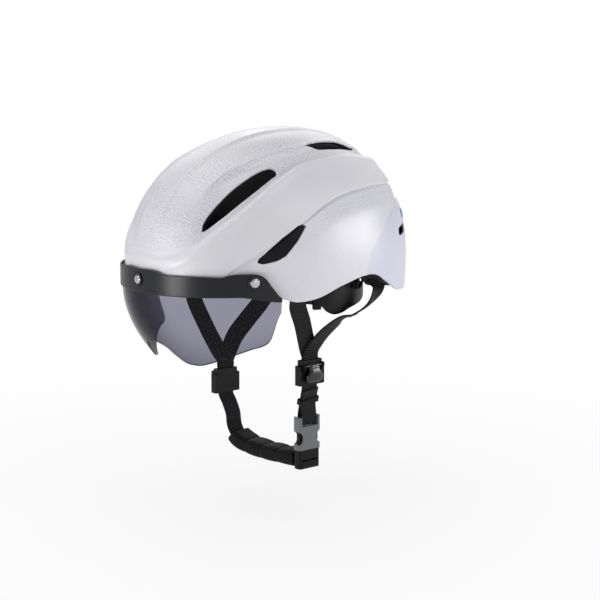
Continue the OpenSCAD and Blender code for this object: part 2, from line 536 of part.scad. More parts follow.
module dial_knob() color([0.07, 0.07, 0.08]) to_dial() difference() {
  translate([0, 0, knob_base]) cylinder(d = dial_d, h = dial_t);
  for (k = [0:19]) rotate([0, 0, k*18]) translate([dial_d/2 + 0.6, 0, 0])
    cylinder(r = 1.6, h = 2*knob_base, $fn = 16);
  translate([0, 0, knob_base + dial_t - cap_t]) cylinder(d = dial_d - 9, h = cap_t + 1);
  translate([0, 0, knob_base - 1]) cylinder(d = shaft_d + 2*run, h = shaft_grip + 1 + run);
  translate([0, 0, knob_base]) cylinder(d = screw_d + 2*fit, h = dial_t);
}
cap_t = 3.4;      // depth of the knob's recess, which holds the screw's head and the cap
screw_head = 1.3;
module dial_cap() color("dimgray") to_dial() translate([0, 0, knob_base + dial_t - cap_t + screw_head + fit])
  cylinder(d = dial_d - 9 - 2*run, h = cap_t - screw_head);
module dial_screw() color("silver") to_dial() {
  translate([0, 0, knob_base + dial_t - cap_t]) cylinder(d = 4.2, h = screw_head);
  translate([0, 0, belt_r + belt_t]) cylinder(d = screw_d, h = knob_base + dial_t - cap_t - belt_r - belt_t);
}

// Anchors of the straps, set in the foam
anchor_t = 6.4;
anchor_w = strap_w + 4.4;
// Half width of the head cavity and of the shell's form at y
function cavity_at(y) = head_w*pow(1 - pow(abs(y)/(y < 0 ? head_front : head_rear), plan_full), 1/plan_full);
function form_at(y) = half_w*pow(1 - pow(abs(y)/(y < 0 ? front_l : rear_l), plan_full), 1/plan_full);
// The front anchors lie close to the cavity, the rear ones nearer the middle of the foam
anchor_front = [cavity_at(-43 + anchor_w/2) + 0.6 + anchor_t/2, -43, 8];
anchor_rear = [0.57*cavity_at(59) + 0.43*form_at(59), 59, 10];
// Strap paths as [x, y, z, turn of the width about Z], all chosen by hand.
// A strap's first points run upright through its anchor, and the next ones are measured from it.
function from_anchor(p, side, next = []) = concat([for (z = [5.5, 1, -5]) [side*p[0], p[1], p[2] + z, 90]],
  [for (d = next) [side*(p[0] + d[0]), p[1] + d[1], p[2] + d[2], d[3]]]);
divider_at = [60, -11, -72];          // middle of the near divider
divider_far = [-62, -17, -100];       // middle of the far divider hangs lower
buckle_at = [48.5, -4.5, -118];       // middle of the top of the buckle
module anchor_pocket() translate([-anchor_t/2 - fit, -anchor_w/2 - fit, -12])
  cube([anchor_t + 2*fit, anchor_w + 2*fit, 20]);
module strap_anchors() color("black") for (s = [-1, 1]) for (p = [anchor_front, anchor_rear])
  translate([s*p[0], p[1], p[2]]) difference() {
    translate([-anchor_t/2, -anchor_w/2, 0]) cube([anchor_t, anchor_w, 7.6]);
    translate([-strap_t/2 - fit, -strap_w/2 - fit, -1]) cube([strap_t + 2*fit, strap_w + 2*fit, 7]);
  }
function unit(v) = v/norm(v);
// Points between the chosen ones, on a smooth curve
function smooth_path(p, n = 3) = concat([for (i = [0:len(p) - 2]) for (k = [0:n - 1]) let (q = k/n,
  a = p[max(0, i - 1)], b = p[i], c = p[i + 1], d = p[min(len(p) - 1, i + 2)])
  0.5*(2*b + (c - a)*q + (2*a - 5*b + 4*c - d)*q^2 + (3*b - a - 3*c + d)*q^3)], [p[len(p) - 1]]);
function xyz(p) = [p[0], p[1], p[2]];
function frame_at(p, i) = let (n = len(p) - 1, t = unit(xyz(p[min(n, i + 1)]) - xyz(p[max(0, i - 1)])),
  w0 = [cos(p[i][3]), sin(p[i][3]), 0], w = unit(w0 - t*(w0*t))) [xyz(p[i]), w, cross(w, t)];
// Solid swept along a path, from rings of [along the width, along the thickness]
module swept(p, section) {
  rings = [for (i = [0:len(p) - 1]) let (f = frame_at(p, i), s = section(i/(len(p) - 1)))
    [for (q = s) f[0] + f[1]*q[0] + f[2]*q[1]]];
  m = len(rings[0]); n = len(rings);
  polyhedron([for (r = rings) each r], concat(
    [[for (j = [m - 1:-1:0]) j]], [[for (j = [0:m - 1]) (n - 1)*m + j]],
    [for (i = [0:n - 2]) for (j = [0:m - 1]) let (a = i*m + j, b = i*m + (j + 1) % m)
      each [[a, b, b + m], [a, b + m, a + m]]]));
}
function strap_section(grow = 0) = let (w = strap_w/2 + grow, t = strap_t/2 + grow)
  function (q) [[-w, -t], [w, -t], [w, t], [-w, t]];
module webbing(p, n = 3) color([0.1, 0.1, 0.1]) swept(smooth_path(p, n), strap_section());
layer = strap_t/2 + 0.15;     // each of the two layers lies this far from the middle of a divider
// Its last points are measured from a divider and end upright in its mouth, the front strap on the inner side
function into_divider(c, layer_side, last) = let (side = sign(c[0])) concat(
  [for (d = last) [c[0] + side*d[0], c[1] + d[1], c[2] + d[2], d[3]]],
  [for (z = [6, 0, -6]) [c[0] + side*layer_side*(layer + max(0, z)*0.06), c[1], c[2] + divider_h/2 + z, 90]]);
module front_strap_left() webbing([each from_anchor(anchor_front, 1, [[-4, 4, -14, 90], [-8.6, 13, -29, 90]]),
  each into_divider(divider_at, -1, [[5, -9, 32, 90]])]);
module rear_strap_left() webbing([each from_anchor(anchor_rear, 1, [[1, -4, -12, 112],
  [3, -17, -22, 126], [4.5, -33, -28, 118], [2, -48, -32, 104]]),
  each into_divider(divider_at, 1, [[12, 8, 38, 94], [4.5, 1.5, 25, 90]])]);
module front_strap_right() webbing([each from_anchor(anchor_front, -1, [[-4, -2, -24, 90]]),
  each into_divider(divider_far, -1, [[8, -17, 54, 90], [3, -6, 30, 90]])]);
module rear_strap_right() webbing([each from_anchor(anchor_rear, -1, [[3, -1, -22, 74], [5, -13, -40, 70],
  [3, -33, -56, 78]]), each into_divider(divider_far, 1, [[11, 21, 40, 86], [3.5, 5, 24, 90]])]);
// From the divider down, round the bar of the socket and up again as a folded tail
bar_z = buckle_at[2] - 5;
bar_d = 3.4;
turn = bar_d/2 + 0.25 + strap_t/2;    // radius at which the webbing goes round the bar
// The strap and its folded tail run side by side through the keeper
keeper_low = [50.4, -6.4, -104.5];
keeper_high = [53.4, -7.6, -97.5];
keeper_way = unit(keeper_high - keeper_low);
tail_gap = strap_t + 0.5;
tail_side = unit(cross([0, 1, 0], keeper_way))*tail_gap;
tail_low = keeper_low + tail_side;
tail_high = keeper_high + tail_side;
// Turns what stands upright to stand along w, with its width kept level
module along(w) let (x = unit(cross([0, 1, 0], w)), y = cross(w, x))
  multmatrix([[x[0], y[0], w[0], 0], [x[1], y[1], w[1], 0], [x[2], y[2], w[2], 0]]) children();
module lower_strap_left() webbing([[divider_at[0], divider_at[1], divider_at[2] + divider_h/2 - 7.6, 90],
  [divider_at[0], divider_at[1], divider_at[2], 90],
  [divider_at[0] - 0.3, divider_at[1], divider_at[2] - divider_h/2 - 1, 90],
  [each keeper_high, 90], [each keeper_low, 90],
  for (p = [[-1, 7], [-1, 0], [-0.75, -0.75*turn], [0, -turn], [0.75, -0.75*turn], [1, 0], [1, 7]])
    [buckle_at[0] + p[0]*turn, buckle_at[1], bar_z + p[1], 90],
  [each tail_low, 90], [each tail_high, 90], [59.8, -9.6, -89.5, 90]], 2);
keeper_h = 6;
keeper_wall = 1.2;
keeper_room = [tail_gap + strap_t + 2*fit, strap_w + 3*fit];
module strap_keeper() color("black") translate((keeper_low + tail_high)/2) along(keeper_way) difference() {
  cube([keeper_room[0] + 2*keeper_wall, keeper_room[1] + 2*keeper_wall, keeper_h], center = true);
  cube([keeper_room[0], keeper_room[1], keeper_h + 1], center = true);
}
chin_low = -161;      // height of the webbing along the chin pad
module lower_strap_right() webbing([[divider_far[0], divider_far[1], divider_far[2] + divider_h/2 - 7.6, 90],
  [divider_far[0], divider_far[1], divider_far[2], 90],
  [divider_far[0] + 0.3, divider_far[1], divider_far[2] - divider_h/2 - 1, 90], [-58, -15.4, -122, 90],
  [-54.2, -14, -132, 90], [-53, -14, -138, 90]]);
// Through the chin pad to the plug
chin_path = smooth_path([[-52.94, -14, -138.3, 90], [-51.4, -14, -145, 90], [-47, -13, -152.5, 90],
  [-39, -12, -157.5, 91], [-27, -10.4, -160.4, 92], [-12, -8.8, chin_low - 0.8, 92],
  [6, -7.2, chin_low - 1, 92], [24, -5.6, chin_low - 0.4, 91], [buckle_at[0] - 9, buckle_at[1], chin_low, 90],
  [buckle_at[0] + 1, buckle_at[1], chin_low, 90]]);
module chin_strap() color([0.1, 0.1, 0.1]) swept(chin_path, strap_section());
pad_from = 6;         // points of the path between which the pad lies
pad_to = 24;
pad_over = 3.5;       // it is wider than the webbing by this much on each side
// Section of the pad, full in the middle of each stuffed cell and drawn in at the seams between
function pad_section(q) = let (cell = abs(sin(q*180*chin_cells)), full = 0.72 + 0.28*sqrt(max(0.02, cell)))
  [for (k = [0:15]) let (a = k*22.5, c = cos(a), s = sin(a))
    [(strap_w/2 + pad_over)*(0.9 + 0.1*cell)*sign(c)*sqrt(abs(c)), chin_t/2*full*sign(s)*sqrt(abs(s))]];
module chin_pad() color([0.09, 0.09, 0.1]) difference() {
  swept(smooth_path([for (i = [pad_from:pad_to]) chin_path[i]], 2), function (q) pad_section(q));
  swept([for (i = [pad_from - 1:pad_to + 1]) chin_path[i]], strap_section(fit));
}

// Strap dividers: a body that the two layers pass through, and a cam lever on a pin that clamps them
divider_t = 7.4;
pin_d = 2.4;
slot_half = strap_t + 0.5;    // half the thickness of a divider's slot, which two layers share
lever_pin = [divider_t/2 + 2.2, 0, divider_h/2 - 5];
ear_y = divider_w/2 - 4.5;    // the ears that hold the pin
module divider() difference() {
  union() {
    translate([-divider_t/2, -divider_w/2, -divider_h/2]) cube([divider_t, divider_w, divider_h - 5]);
    translate([-divider_t/2, -divider_w/2 + 3, -divider_h/2]) cube([divider_t, divider_w - 6, divider_h]);
    for (s = [-1, 1]) hull() {
      translate([lever_pin[0], s*ear_y, lever_pin[2]]) rotate([90, 0, 0]) cylinder(d = 5, h = 2, center = true);
      translate([divider_t/2 - 1, s*ear_y, lever_pin[2] - 4]) cube([1, 2, 8], center = true);
    }
  }
  // the slot, which widens towards its upper mouth
  translate([0, strap_w/2 + fit, 0]) rotate([90, 0, 0]) linear_extrude(strap_w + 2*fit) polygon([
    for (p = [[slot_half, -divider_h/2 - 1], [slot_half, 2], [slot_half + 1, divider_h/2 + 1]]) p,
    for (p = [[-slot_half - 1, divider_h/2 + 1], [-slot_half, 2], [-slot_half, -divider_h/2 - 1]]) p]);
  translate(lever_pin) rotate([90, 0, 0]) cylinder(d = pin_d + 2*run, h = divider_w + 2, center = true);
}
module lever() {
  w = divider_w - 13;
  difference() {
    union() {
      rotate([90, 0, 0]) cylinder(d = 4.2, h = w, center = true);
      intersection() {
        translate([-2.1, -w/2, -16]) cube([5.6, w, 16]);
        translate([-14.6, 0, -8]) rotate([90, 0, 0]) cylinder(r = 18, h = w + 2, center = true);
      }
    }
    translate([-4.1, -w, -20]) cube([2.4, 2*w, 18]);
  }
  rotate([90, 0, 0]) cylinder(d = pin_d, h = divider_w - 6, center = true);
}
module to_left() translate(divider_at) children();
module to_right() translate(divider_far) mirror([1, 0, 0]) children();
module divider_left() color([0.08, 0.08, 0.09]) to_left() divider();
module divider_right() color([0.08, 0.08, 0.09]) to_right() divider();
module divider_lever_left() color([0.05, 0.05, 0.05]) to_left() translate(lever_pin) lever();
module divider_lever_right() color([0.05, 0.05, 0.05]) to_right() translate(lever_pin) lever();

// Side-release buckle: socket above, plug with two springy prongs below
inner_w = buckle_w - 2*socket_wall;
inner_t = buckle_t - 2*socket_wall;
module rounded_box(w, t, h, r) translate([-t/2, -w/2, -h]) hull() for (y = [r, w - r])
  for (x = [r, t - r]) translate([x, y, 0]) cylinder(r = r, h = h, $fn = 24);
module buckle_socket() color("dimgray") translate(buckle_at) difference() {
  rounded_box(buckle_w, buckle_t, socket_h, 2.5);
  // window for the webbing, with its bar left standing
  difference() {
    translate([-buckle_t, -strap_w/2 - 0.8, bar_z - buckle_at[2] - turn - strap_t/2 - 0.6])
      cube([2*buckle_t, strap_w + 1.6, turn + strap_t + bar_d + 8]);
    translate([0, 0, bar_z - buckle_at[2]]) rotate([90, 0, 0])
      cylinder(d = bar_d, h = buckle_w, center = true);
  }
  translate([-inner_t/2, -inner_w/2, -socket_h - 1]) cube([inner_t, inner_w, socket_h - 10.5]);
  // side windows, where the prongs are squeezed
  for (s = [-1, 1]) translate([0, s*(buckle_w/2 + 1), window_z]) rotate([0, 90, 0])
    cylinder(d = window_d, h = 2*buckle_t, center = true);
}
window_z = -20.5;     // height of the side windows, from the top of the socket
window_d = 13;
plug_top = buckle_at[2] - socket_h - 0.4;
prong_w = 3.6;
prong_h = socket_h - 15;
prong_pin_d = 1.2;
prong_y = inner_w/2 - 0.4 - prong_w/2;
prong_z = plug_top + 1.6;     // height of the prongs' bending point
module buckle_plug() color([0.08, 0.08, 0.09]) {
  difference() {
    translate([buckle_at[0], buckle_at[1], plug_top])
      rounded_box(buckle_w - 1.6, buckle_t - 0.6, plug_h, 2.5);
    translate([buckle_at[0] - 10, buckle_at[1] - strap_w/2 - 0.6, chin_low - strap_t/2 - 0.5])
      cube([20, strap_w + 1.2, strap_t + 1]);
  }
  translate([buckle_at[0], buckle_at[1], plug_top]) {
    for (z = [-11.6, -13.8, -16]) translate([buckle_t/2 - 0.4, 0, z]) rotate([90, 0, 0])
      cylinder(d = 1.6, h = strap_w, center = true);
    translate([-inner_t/2 + 0.3, -3, -0.5]) cube([inner_t - 0.6, 6, socket_h - 12.5]);
    // ears that hold the prongs' bending pins
    for (s = [-1, 1]) difference() {
      translate([-inner_t/2 + 0.3, s*(prong_y) - 1.9, -0.5]) cube([1.2, 3.8, 3.6]);
      translate([-inner_t, s*prong_y, prong_z - plug_top]) rotate([0, 90, 0])
        cylinder(d = prong_pin_d + 2*run, h = 2*inner_t);
    }
  }
}
module prong(side) translate([buckle_at[0], buckle_at[1] + side*prong_y, prong_z]) {
  translate([-inner_t/2 + 1.8, -prong_w/2 + 0.2, -1.2]) cube([inner_t - 2.6, prong_w - 0.4, prong_h]);
  // the thicker end that shows in the side window
  translate([-inner_t/2 + 1.8, side > 0 ? -prong_w/2 + 0.2 : -prong_w/2, prong_h/2 - 1.5])
    cube([inner_t - 2.6, prong_w - 0.2, prong_h/2 + 0.3]);
  rotate([0, 90, 0]) translate([0, 0, -inner_t/2 + 0.4]) cylinder(d = prong_pin_d, h = 3);
}
module plug_prong_front() color([0.08, 0.08, 0.09]) prong(-1);
module plug_prong_rear() color([0.08, 0.08, 0.09]) prong(1);

crown_shell();
lower_shell();
rear_shell();
rear_accent();
side_vent_inserts();
foam_liner();
brow_pad();
crown_pads();
side_pads();
pad_hooks();
headband();
temple_guides();
shell_magnets();
visor_lens();
visor_frame();
visor_magnets();
magnet_rings();
belt_left();
belt_right();
belt_pad_left();
belt_pad_right();
cradle_housing();
cradle_cover();
cradle_arms();
cradle_screws();
cradle_pad();
dial_knob();
dial_cap();
dial_pinion();
dial_screw();
strap_anchors();
front_strap_left();
rear_strap_left();
lower_strap_left();
front_strap_right();
rear_strap_right();
lower_strap_right();
chin_strap();
chin_pad();
strap_keeper();
divider_left();
divider_right();
divider_lever_left();
divider_lever_right();
buckle_socket();
buckle_plug();
plug_prong_front();
plug_prong_rear();
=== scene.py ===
# Road bike helmet with a magnetic goggle visor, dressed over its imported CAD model.
# The sections follow the helmet as it is put together. Sizes are in mm unless they say otherwise.
import bpy, bmesh, math
import numpy as np
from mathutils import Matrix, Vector


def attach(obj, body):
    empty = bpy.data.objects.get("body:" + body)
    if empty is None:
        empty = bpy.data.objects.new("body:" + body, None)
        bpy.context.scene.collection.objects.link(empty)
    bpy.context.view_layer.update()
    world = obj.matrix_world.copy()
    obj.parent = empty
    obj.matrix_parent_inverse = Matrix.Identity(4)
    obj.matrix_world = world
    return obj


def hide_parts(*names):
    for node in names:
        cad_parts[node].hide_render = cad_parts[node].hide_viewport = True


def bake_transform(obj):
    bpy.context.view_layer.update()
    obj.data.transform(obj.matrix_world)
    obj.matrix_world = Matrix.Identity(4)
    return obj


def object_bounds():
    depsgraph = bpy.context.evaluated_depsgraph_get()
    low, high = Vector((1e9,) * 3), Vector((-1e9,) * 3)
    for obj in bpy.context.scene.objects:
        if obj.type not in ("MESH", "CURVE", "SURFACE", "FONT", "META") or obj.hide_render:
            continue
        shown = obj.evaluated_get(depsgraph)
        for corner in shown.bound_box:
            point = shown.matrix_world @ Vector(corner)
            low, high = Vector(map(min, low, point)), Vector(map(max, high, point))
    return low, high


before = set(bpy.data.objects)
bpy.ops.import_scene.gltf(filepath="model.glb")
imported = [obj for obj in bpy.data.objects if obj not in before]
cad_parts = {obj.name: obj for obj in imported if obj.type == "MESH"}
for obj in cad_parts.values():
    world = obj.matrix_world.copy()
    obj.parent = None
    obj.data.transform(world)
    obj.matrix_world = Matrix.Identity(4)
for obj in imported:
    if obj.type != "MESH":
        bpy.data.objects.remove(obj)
cad_box = [[float(v) for v in corner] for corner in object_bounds()]
scene = bpy.context.scene

# ---- Studio: floor, lamps and camera.
# A pale paper floor 34 mm under the hanging straps, so that the released plug clears it too, soft
# boxes on both sides, and the camera at the photograph's angle, 1.7 m away.
def linear(code):
    """The linear colour of an sRGB hex value."""
    part = [int(code[i:i + 2], 16)/255 for i in (1, 3, 5)]
    return [v/12.92 if v <= 0.04045 else ((v + 0.055)/1.055)**2.4 for v in part] + [1.0]

def add(tree, kind, inputs=None, **settings):
    """One node with its settings, and its inputs set to values or linked to sockets."""
    made = tree.nodes.new(kind)
    for key, value in settings.items():
        setattr(made, key, value)
    for key, value in (inputs or {}).items():
        if isinstance(value, bpy.types.NodeSocket):
            tree.links.new(value, made.inputs[key])
        else:
            made.inputs[key].default_value = value
    return made

def reckon(tree, operation, *values, **settings):
    """The result of one sum on values or sockets."""
    return add(tree, "ShaderNodeMath", dict(enumerate(values)), operation=operation, **settings).outputs[0]

def spread(tree, value, low, high, start=0.0, end=1.0, **settings):
    """A value that runs from start to end, mapped so that it runs from low to high."""
    return add(tree, "ShaderNodeMapRange", {"Value": value, "From Min": start, "From Max": end,
                                            "To Min": low, "To Max": high}, **settings).outputs[0]

def noise(tree, place, scale, detail=2.0, **inputs):
    """Soft noise with so many waves to the metre."""
    return add(tree, "ShaderNodeTexNoise",
               {"Vector": place, "Scale": scale, "Detail": detail, **inputs}).outputs[0]

def cells(tree, place, scale, output="Distance", **settings):
    """Small cells, so many to the metre: the distance to their middles, or a colour for each."""
    return add(tree, "ShaderNodeTexVoronoi", {"Vector": place, "Scale": scale}, **settings).outputs[output]

def shades(tree, value, dark, light, low=0.0, high=1.0):
    """The colour between two sRGB hex values, for a value between low and high."""
    ramp = add(tree, "ShaderNodeValToRGB", {0: value})
    first, last = ramp.color_ramp.elements
    first.position, last.position = low, high
    first.color, last.color = linear(dark), linear(light)
    return ramp.outputs[0]

def bumps(tree, height, strength, depth, invert=False, **inputs):
    """Bumps over a height, so deep in metres at full strength."""
    inputs.update({"Strength": strength, "Distance": depth, "Height": height})
    return add(tree, "ShaderNodeBump", inputs, invert=invert).outputs[0]

def begun(name):
    """An empty material, its tree, and the object coordinates that its patterns lie on."""
    mat = bpy.data.materials.new(name)
    mat.use_nodes = True
    mat.node_tree.nodes.clear()
    return mat, mat.node_tree, add(mat.node_tree, "ShaderNodeTexCoord").outputs["Object"]

def surfaced(tree, inputs):
    """The principled surface of a material, with its inputs set or linked."""
    shader = add(tree, "ShaderNodeBsdfPrincipled", inputs)
    add(tree, "ShaderNodeOutputMaterial", {"Surface": shader.outputs[0]})

def backdrop_share(tree, glossy, **settings):
    """The plain backdrop's share for a ray: 1 if seen, also through the visor; glossy for mirrored ones."""
    path = add(tree, "ShaderNodeLightPath").outputs
    seen = reckon(tree, "MAXIMUM", path["Is Camera Ray"], path["Is Transmission Ray"])
    return reckon(tree, "MULTIPLY_ADD", path["Is Glossy Ray"], glossy, seen, **settings)

def link(name, data):
    """A new object in the scene."""
    made = bpy.data.objects.new(name, data)
    scene.collection.objects.link(made)
    return made

paper, tree, place = begun("floor_paper")
# uncoated white paper sweep: lit only near the helmet, where its shadow lies, and plain white beyond
near_m, far_m, near_white = 0.22, 0.75, 0.84
lit = add(tree, "ShaderNodeBsdfPrincipled", {"Base Color": linear("#F4F4F4"), "Roughness": 0.9})
far = add(tree, "ShaderNodeVectorMath", {0: place}, operation="LENGTH").outputs["Value"]
far = spread(tree, far, near_white, 1.0, near_m, far_m, interpolation_type="SMOOTHSTEP")
share = reckon(tree, "MULTIPLY", backdrop_share(tree, 0.5), far, use_clamp=True)
white = add(tree, "ShaderNodeEmission", {"Color": (1, 1, 1, 1), "Strength": 1.0})
mixed = add(tree, "ShaderNodeMixShader", {0: share, 1: lit.outputs[0], 2: white.outputs[0]})
add(tree, "ShaderNodeOutputMaterial", {"Surface": mixed.outputs[0]})

floor_half, floor_drop = 14.0, 0.034
floor_z = cad_box[0][2] - floor_drop
sheet = bpy.data.meshes.new("floor")
sheet.from_pydata([(x*floor_half, y*floor_half, floor_z) for x, y in ((-1, -1), (1, -1), (1, 1), (-1, 1))],
                  [], [(0, 1, 2, 3)])
sheet.materials.append(paper)
floor = link("floor", sheet)

world = bpy.data.worlds.new("studio")
scene.world = world
world.use_nodes = True
tree = world.node_tree
tree.nodes.clear()
room = add(tree, "ShaderNodeBackground", {"Color": linear("#F0F1F4"), "Strength": 0.27})
behind = add(tree, "ShaderNodeBackground", {"Color": (1, 1, 1, 1), "Strength": 1.0})
both = add(tree, "ShaderNodeMixShader", {0: backdrop_share(tree, 0.12, use_clamp=True), 1: room.outputs[0],
                                         2: behind.outputs[0]})
add(tree, "ShaderNodeOutputWorld", {"Surface": both.outputs[0]})

# soft boxes: where each stands and aims, in metres, its width and height, and its power in watts
for name, stand, aim, width, height, power in (
        ("overhead_box", (-0.25, -0.2, 1.6), (0, -0.02, 0.05), 1.4, 1.4, 10.5),
        ("left_box", (1.15, 1.22, 0.24), (0, 0.02, 0.02), 0.8, 0.6, 10.5),
        ("high_side_box", (1.3, 0.42, 0.95), (0, 0, 0.03), 0.6, 0.6, 2.6),
        ("side_strip", (1.7, -0.25, 0.2), (0, 0, 0.0), 0.5, 1.3, 1.4),
        ("front_box", (-0.45, -1.4, 0.42), (0, -0.1, 0.03), 0.8, 0.5, 3.4),
        ("low_front_strip", (0.12, -1.35, -0.1), (0, -0.15, 0.02), 0.5, 0.13, 5),
        ("far_box", (-1.3, 0.5, 0.95), (0, 0, 0.05), 0.9, 0.9, 3.5),
        ("rear_box", (-0.95, 1.2, 0.8), (0, 0, 0.05), 1.0, 0.8, 3.2)):
    lamp = bpy.data.lights.new(name, "AREA")
    lamp.shape = "RECTANGLE"
    lamp.size, lamp.size_y, lamp.energy = width, height, power
    box = link(name, lamp)
    box.location = stand
    box.rotation_euler = (Vector(aim) - Vector(stand)).to_track_quat("-Z", "Y").to_euler()

camera_az, camera_el, camera_far = math.radians(50.5), math.radians(9.78), 1.7
camera = link("camera", bpy.data.cameras.new("camera"))
camera.location = (camera_far*math.sin(camera_az)*math.cos(camera_el),
                   -camera_far*math.cos(camera_az)*math.cos(camera_el), camera_far*math.sin(camera_el))
camera.rotation_euler = (-camera.location).to_track_quat("-Z", "Y").to_euler()
camera.data.sensor_width, camera.data.lens, camera.data.clip_end = 36, 105.67, 60
camera.data.shift_x, camera.data.shift_y = 0.0363, -0.0223
scene.camera = camera
scene.view_settings.view_transform = "Standard"

# ---- Crown shell: the main outer shell, vacuum-formed and moulded onto the foam.
# Clear-coated pearl polycarbonate, 2 mm thick, with a rolled lip at its edge and vents, a sunk
# panel with a fine dot mesh under its coat, and a low spine along the middle.
half_w, front_l, rear_l, crown_h = 104.5, 160.0, 132.0, 123.0
brow_z, plan_full, rise_full, skirt_h = 31.0, 2.15, 2.2, 200.0
shell_t, lap_step, rear_step, seam = 2.0, 1.2, 1.6, 0.3
panel_in, gutter_in, spine_h, spine_w = 1.5, 3.0, 1.6, 16.0
roll_h, roll_w, bead_h, bead_w = 1.0, 2.2, 0.9, 1.7
rim_line = [[-90, -3.9], [-52, -3.9], [-38, -4.2], [-27, -5.2], [-21, -6.3], [-13, -5.8], [-3, -3.5],
            [8, -2.1], [16, -2.4], [23, -4.4], [36, -7.6], [90, -8.5]]
crease_line = [[-90, -3.9], [-54, -3.9], [-45, 1.6], [-30, 11.2], [-19, 19.6], [-9, 26.9], [2, 31.4],
               [22, 33.6], [51, 32.2], [90, 31]]
rear_line = [[9, -1.8], [12, 4.8], [18, 10.8], [26, 16.4], [38, 20.6], [54, 22.8], [90, 22]]
groove_line = [[-90, 6], [-76, 5.2], [-62, 9.3], [-49, 19.5], [-40, 28.2], [-29, 40], [-14, 49.5],
               [2, 52.2], [19, 52.9], [37, 50.4], [60, 46.5], [90, 45]]
hood_line = [[-90, 36], [-62, 38], [-57, 44.2], [-51, 48.2], [-39, 54.5], [-27, 58.6], [-10, 62],
             [10, 65], [30, 63.5], [45, 58], [90, 54]]
front_vent = [[-58.7, 18.2, 2.2], [-55.5, 22.2, 4.5], [-52, 26.9, 6.5], [-47, 33.2, 7.8], [-41, 39.5, 7.9],
              [-35.5, 44.4, 7], [-31.8, 46.5, 5.8]]
top_vent = [[-8.3, 63, 0.6], [-3, 63.2, 2.2], [5, 63, 3.8], [15, 62.9, 4.3], [25, 62.1, 4.2],
            [33, 61.1, 3.8], [47.3, 56.2, 1.4]]

def ease(v, a, b):
    """A smooth step from 0 at a to 1 at b."""
    q = np.clip((v - a)/(b - a), 0, 1)
    return q*q*(3 - 2*q)

def curve(x, line):
    """Smooth curve through the points of a line."""
    p = np.array(line, float)
    x = np.clip(np.asarray(x, float), p[0, 0], p[-1, 0])
    i = np.clip(np.searchsorted(p[:, 0], x, side="right") - 1, 0, len(p) - 2)
    slope = np.zeros(len(p))
    slope[1:-1] = (p[2:, 1] - p[:-2, 1])/(p[2:, 0] - p[:-2, 0])
    h = p[i + 1, 0] - p[i, 0]
    q = (x - p[i, 0])/h
    return ((2*q**3 - 3*q**2 + 1)*p[i, 1] + (q**3 - 2*q**2 + q)*h*slope[i]
            + (3*q**2 - 2*q**3)*p[i + 1, 1] + (q**3 - q**2)*h*slope[i + 1])

def folded(u):
    """Plan angle folded onto the wearer's left half."""
    u = (np.asarray(u, float) + 90) % 360 - 90
    return np.where(u > 90, 180 - u, u)

def rounded(u, t, b, front, rear, h):
    """Point of a rounded form at plan angle u and rise angle t."""
    cu, su = np.cos(np.radians(u)), np.sin(np.radians(u))
    ct, st = np.cos(np.radians(t)), np.sin(np.radians(t))
    k = (abs(cu)**plan_full + abs(su)**plan_full)**(-1/plan_full)*np.maximum(0, ct)**(2/rise_full)
    z = np.sign(st)*abs(st)**(2/rise_full)
    return np.stack([b*k*cu, np.where(su < 0, front, rear)*k*su,
                     brow_z + z*np.where(st >= 0, h, skirt_h)], -1)

def form(u, t, off=0.0):
    """The shells' plain outer form, off mm under it."""
    return rounded(u, t, half_w - off, front_l - off, rear_l - off, crown_h - off)

def hood_t(u):
    """Rise angle of the hood's edge, where the sunk panel ends."""
    h = folded(u)
    return np.maximum(curve(h, groove_line) + 8, curve(h, hood_line))

def relief(u, t):
    """Height of the crown shell's rolled edge, sunk panel, gutters, bead and spine over the plain form."""
    h, k = folded(u), hood_t(u)
    g = curve(h, groove_line)
    inside = ease(t, g - 1, g + 2)
    return (roll_h*np.exp(-((t - g + 2.5)/roll_w)**2) - panel_in*inside
            - gutter_in*inside*(1 - ease(t, k - 4.5, k - 0.5))*ease(h, -64, -54)*(1 - ease(h, 50, 75))
            + bead_h*np.exp(-((t - k - 0.8)/bead_w)**2)*ease(h, -64, -54)*(1 - ease(h, 30, 60))
            + spine_h*ease(t, 10, 24)*(1 - ease(abs(form(u, t)[..., 0]), spine_w - 2.5, spine_w + 2)))

def slot_distance(line):
    """Distance in mm from the outline of a vent that widens along its middle line, less than 0 inside."""
    p = np.array(line, float)
    u = np.linspace(p[0, 0], p[-1, 0], 140)
    middle = form(u, curve(u, p[:, :2]))
    radius = curve(u, p[:, [0, 2]])
    def distance(uu, tt):
        at = form(folded(uu), tt).reshape(-1, 3)
        best = np.full(len(at), 1e9)
        for i in range(len(middle)):
            best = np.minimum(best, np.linalg.norm(at - middle[i], axis=1) - radius[i])
        return best.reshape(np.shape(uu))
    return distance

def even_normals(piece):
    """Shading that follows the broad faces and not the narrow ones at the lips."""
    weighted = piece.modifiers.new("weighted", "WEIGHTED_NORMAL")
    weighted.weight, weighted.keep_sharp = 80, True
    return settled(piece)

def settled(piece):
    """The piece with its modifiers made into plain mesh."""
    bpy.context.view_layer.update()
    graph = bpy.context.evaluated_depsgraph_get()
    mesh = bpy.data.meshes.new_from_object(piece.evaluated_get(graph), preserve_all_data_layers=True,
                                           depsgraph=graph)
    piece.modifiers.clear()
    piece.data = mesh
    return piece

def dress(piece, material, node, body):
    """The piece in its material, in place of a CAD node and riding on its body."""
    piece.data.materials.append(material)
    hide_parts(node)
    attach(piece, body)

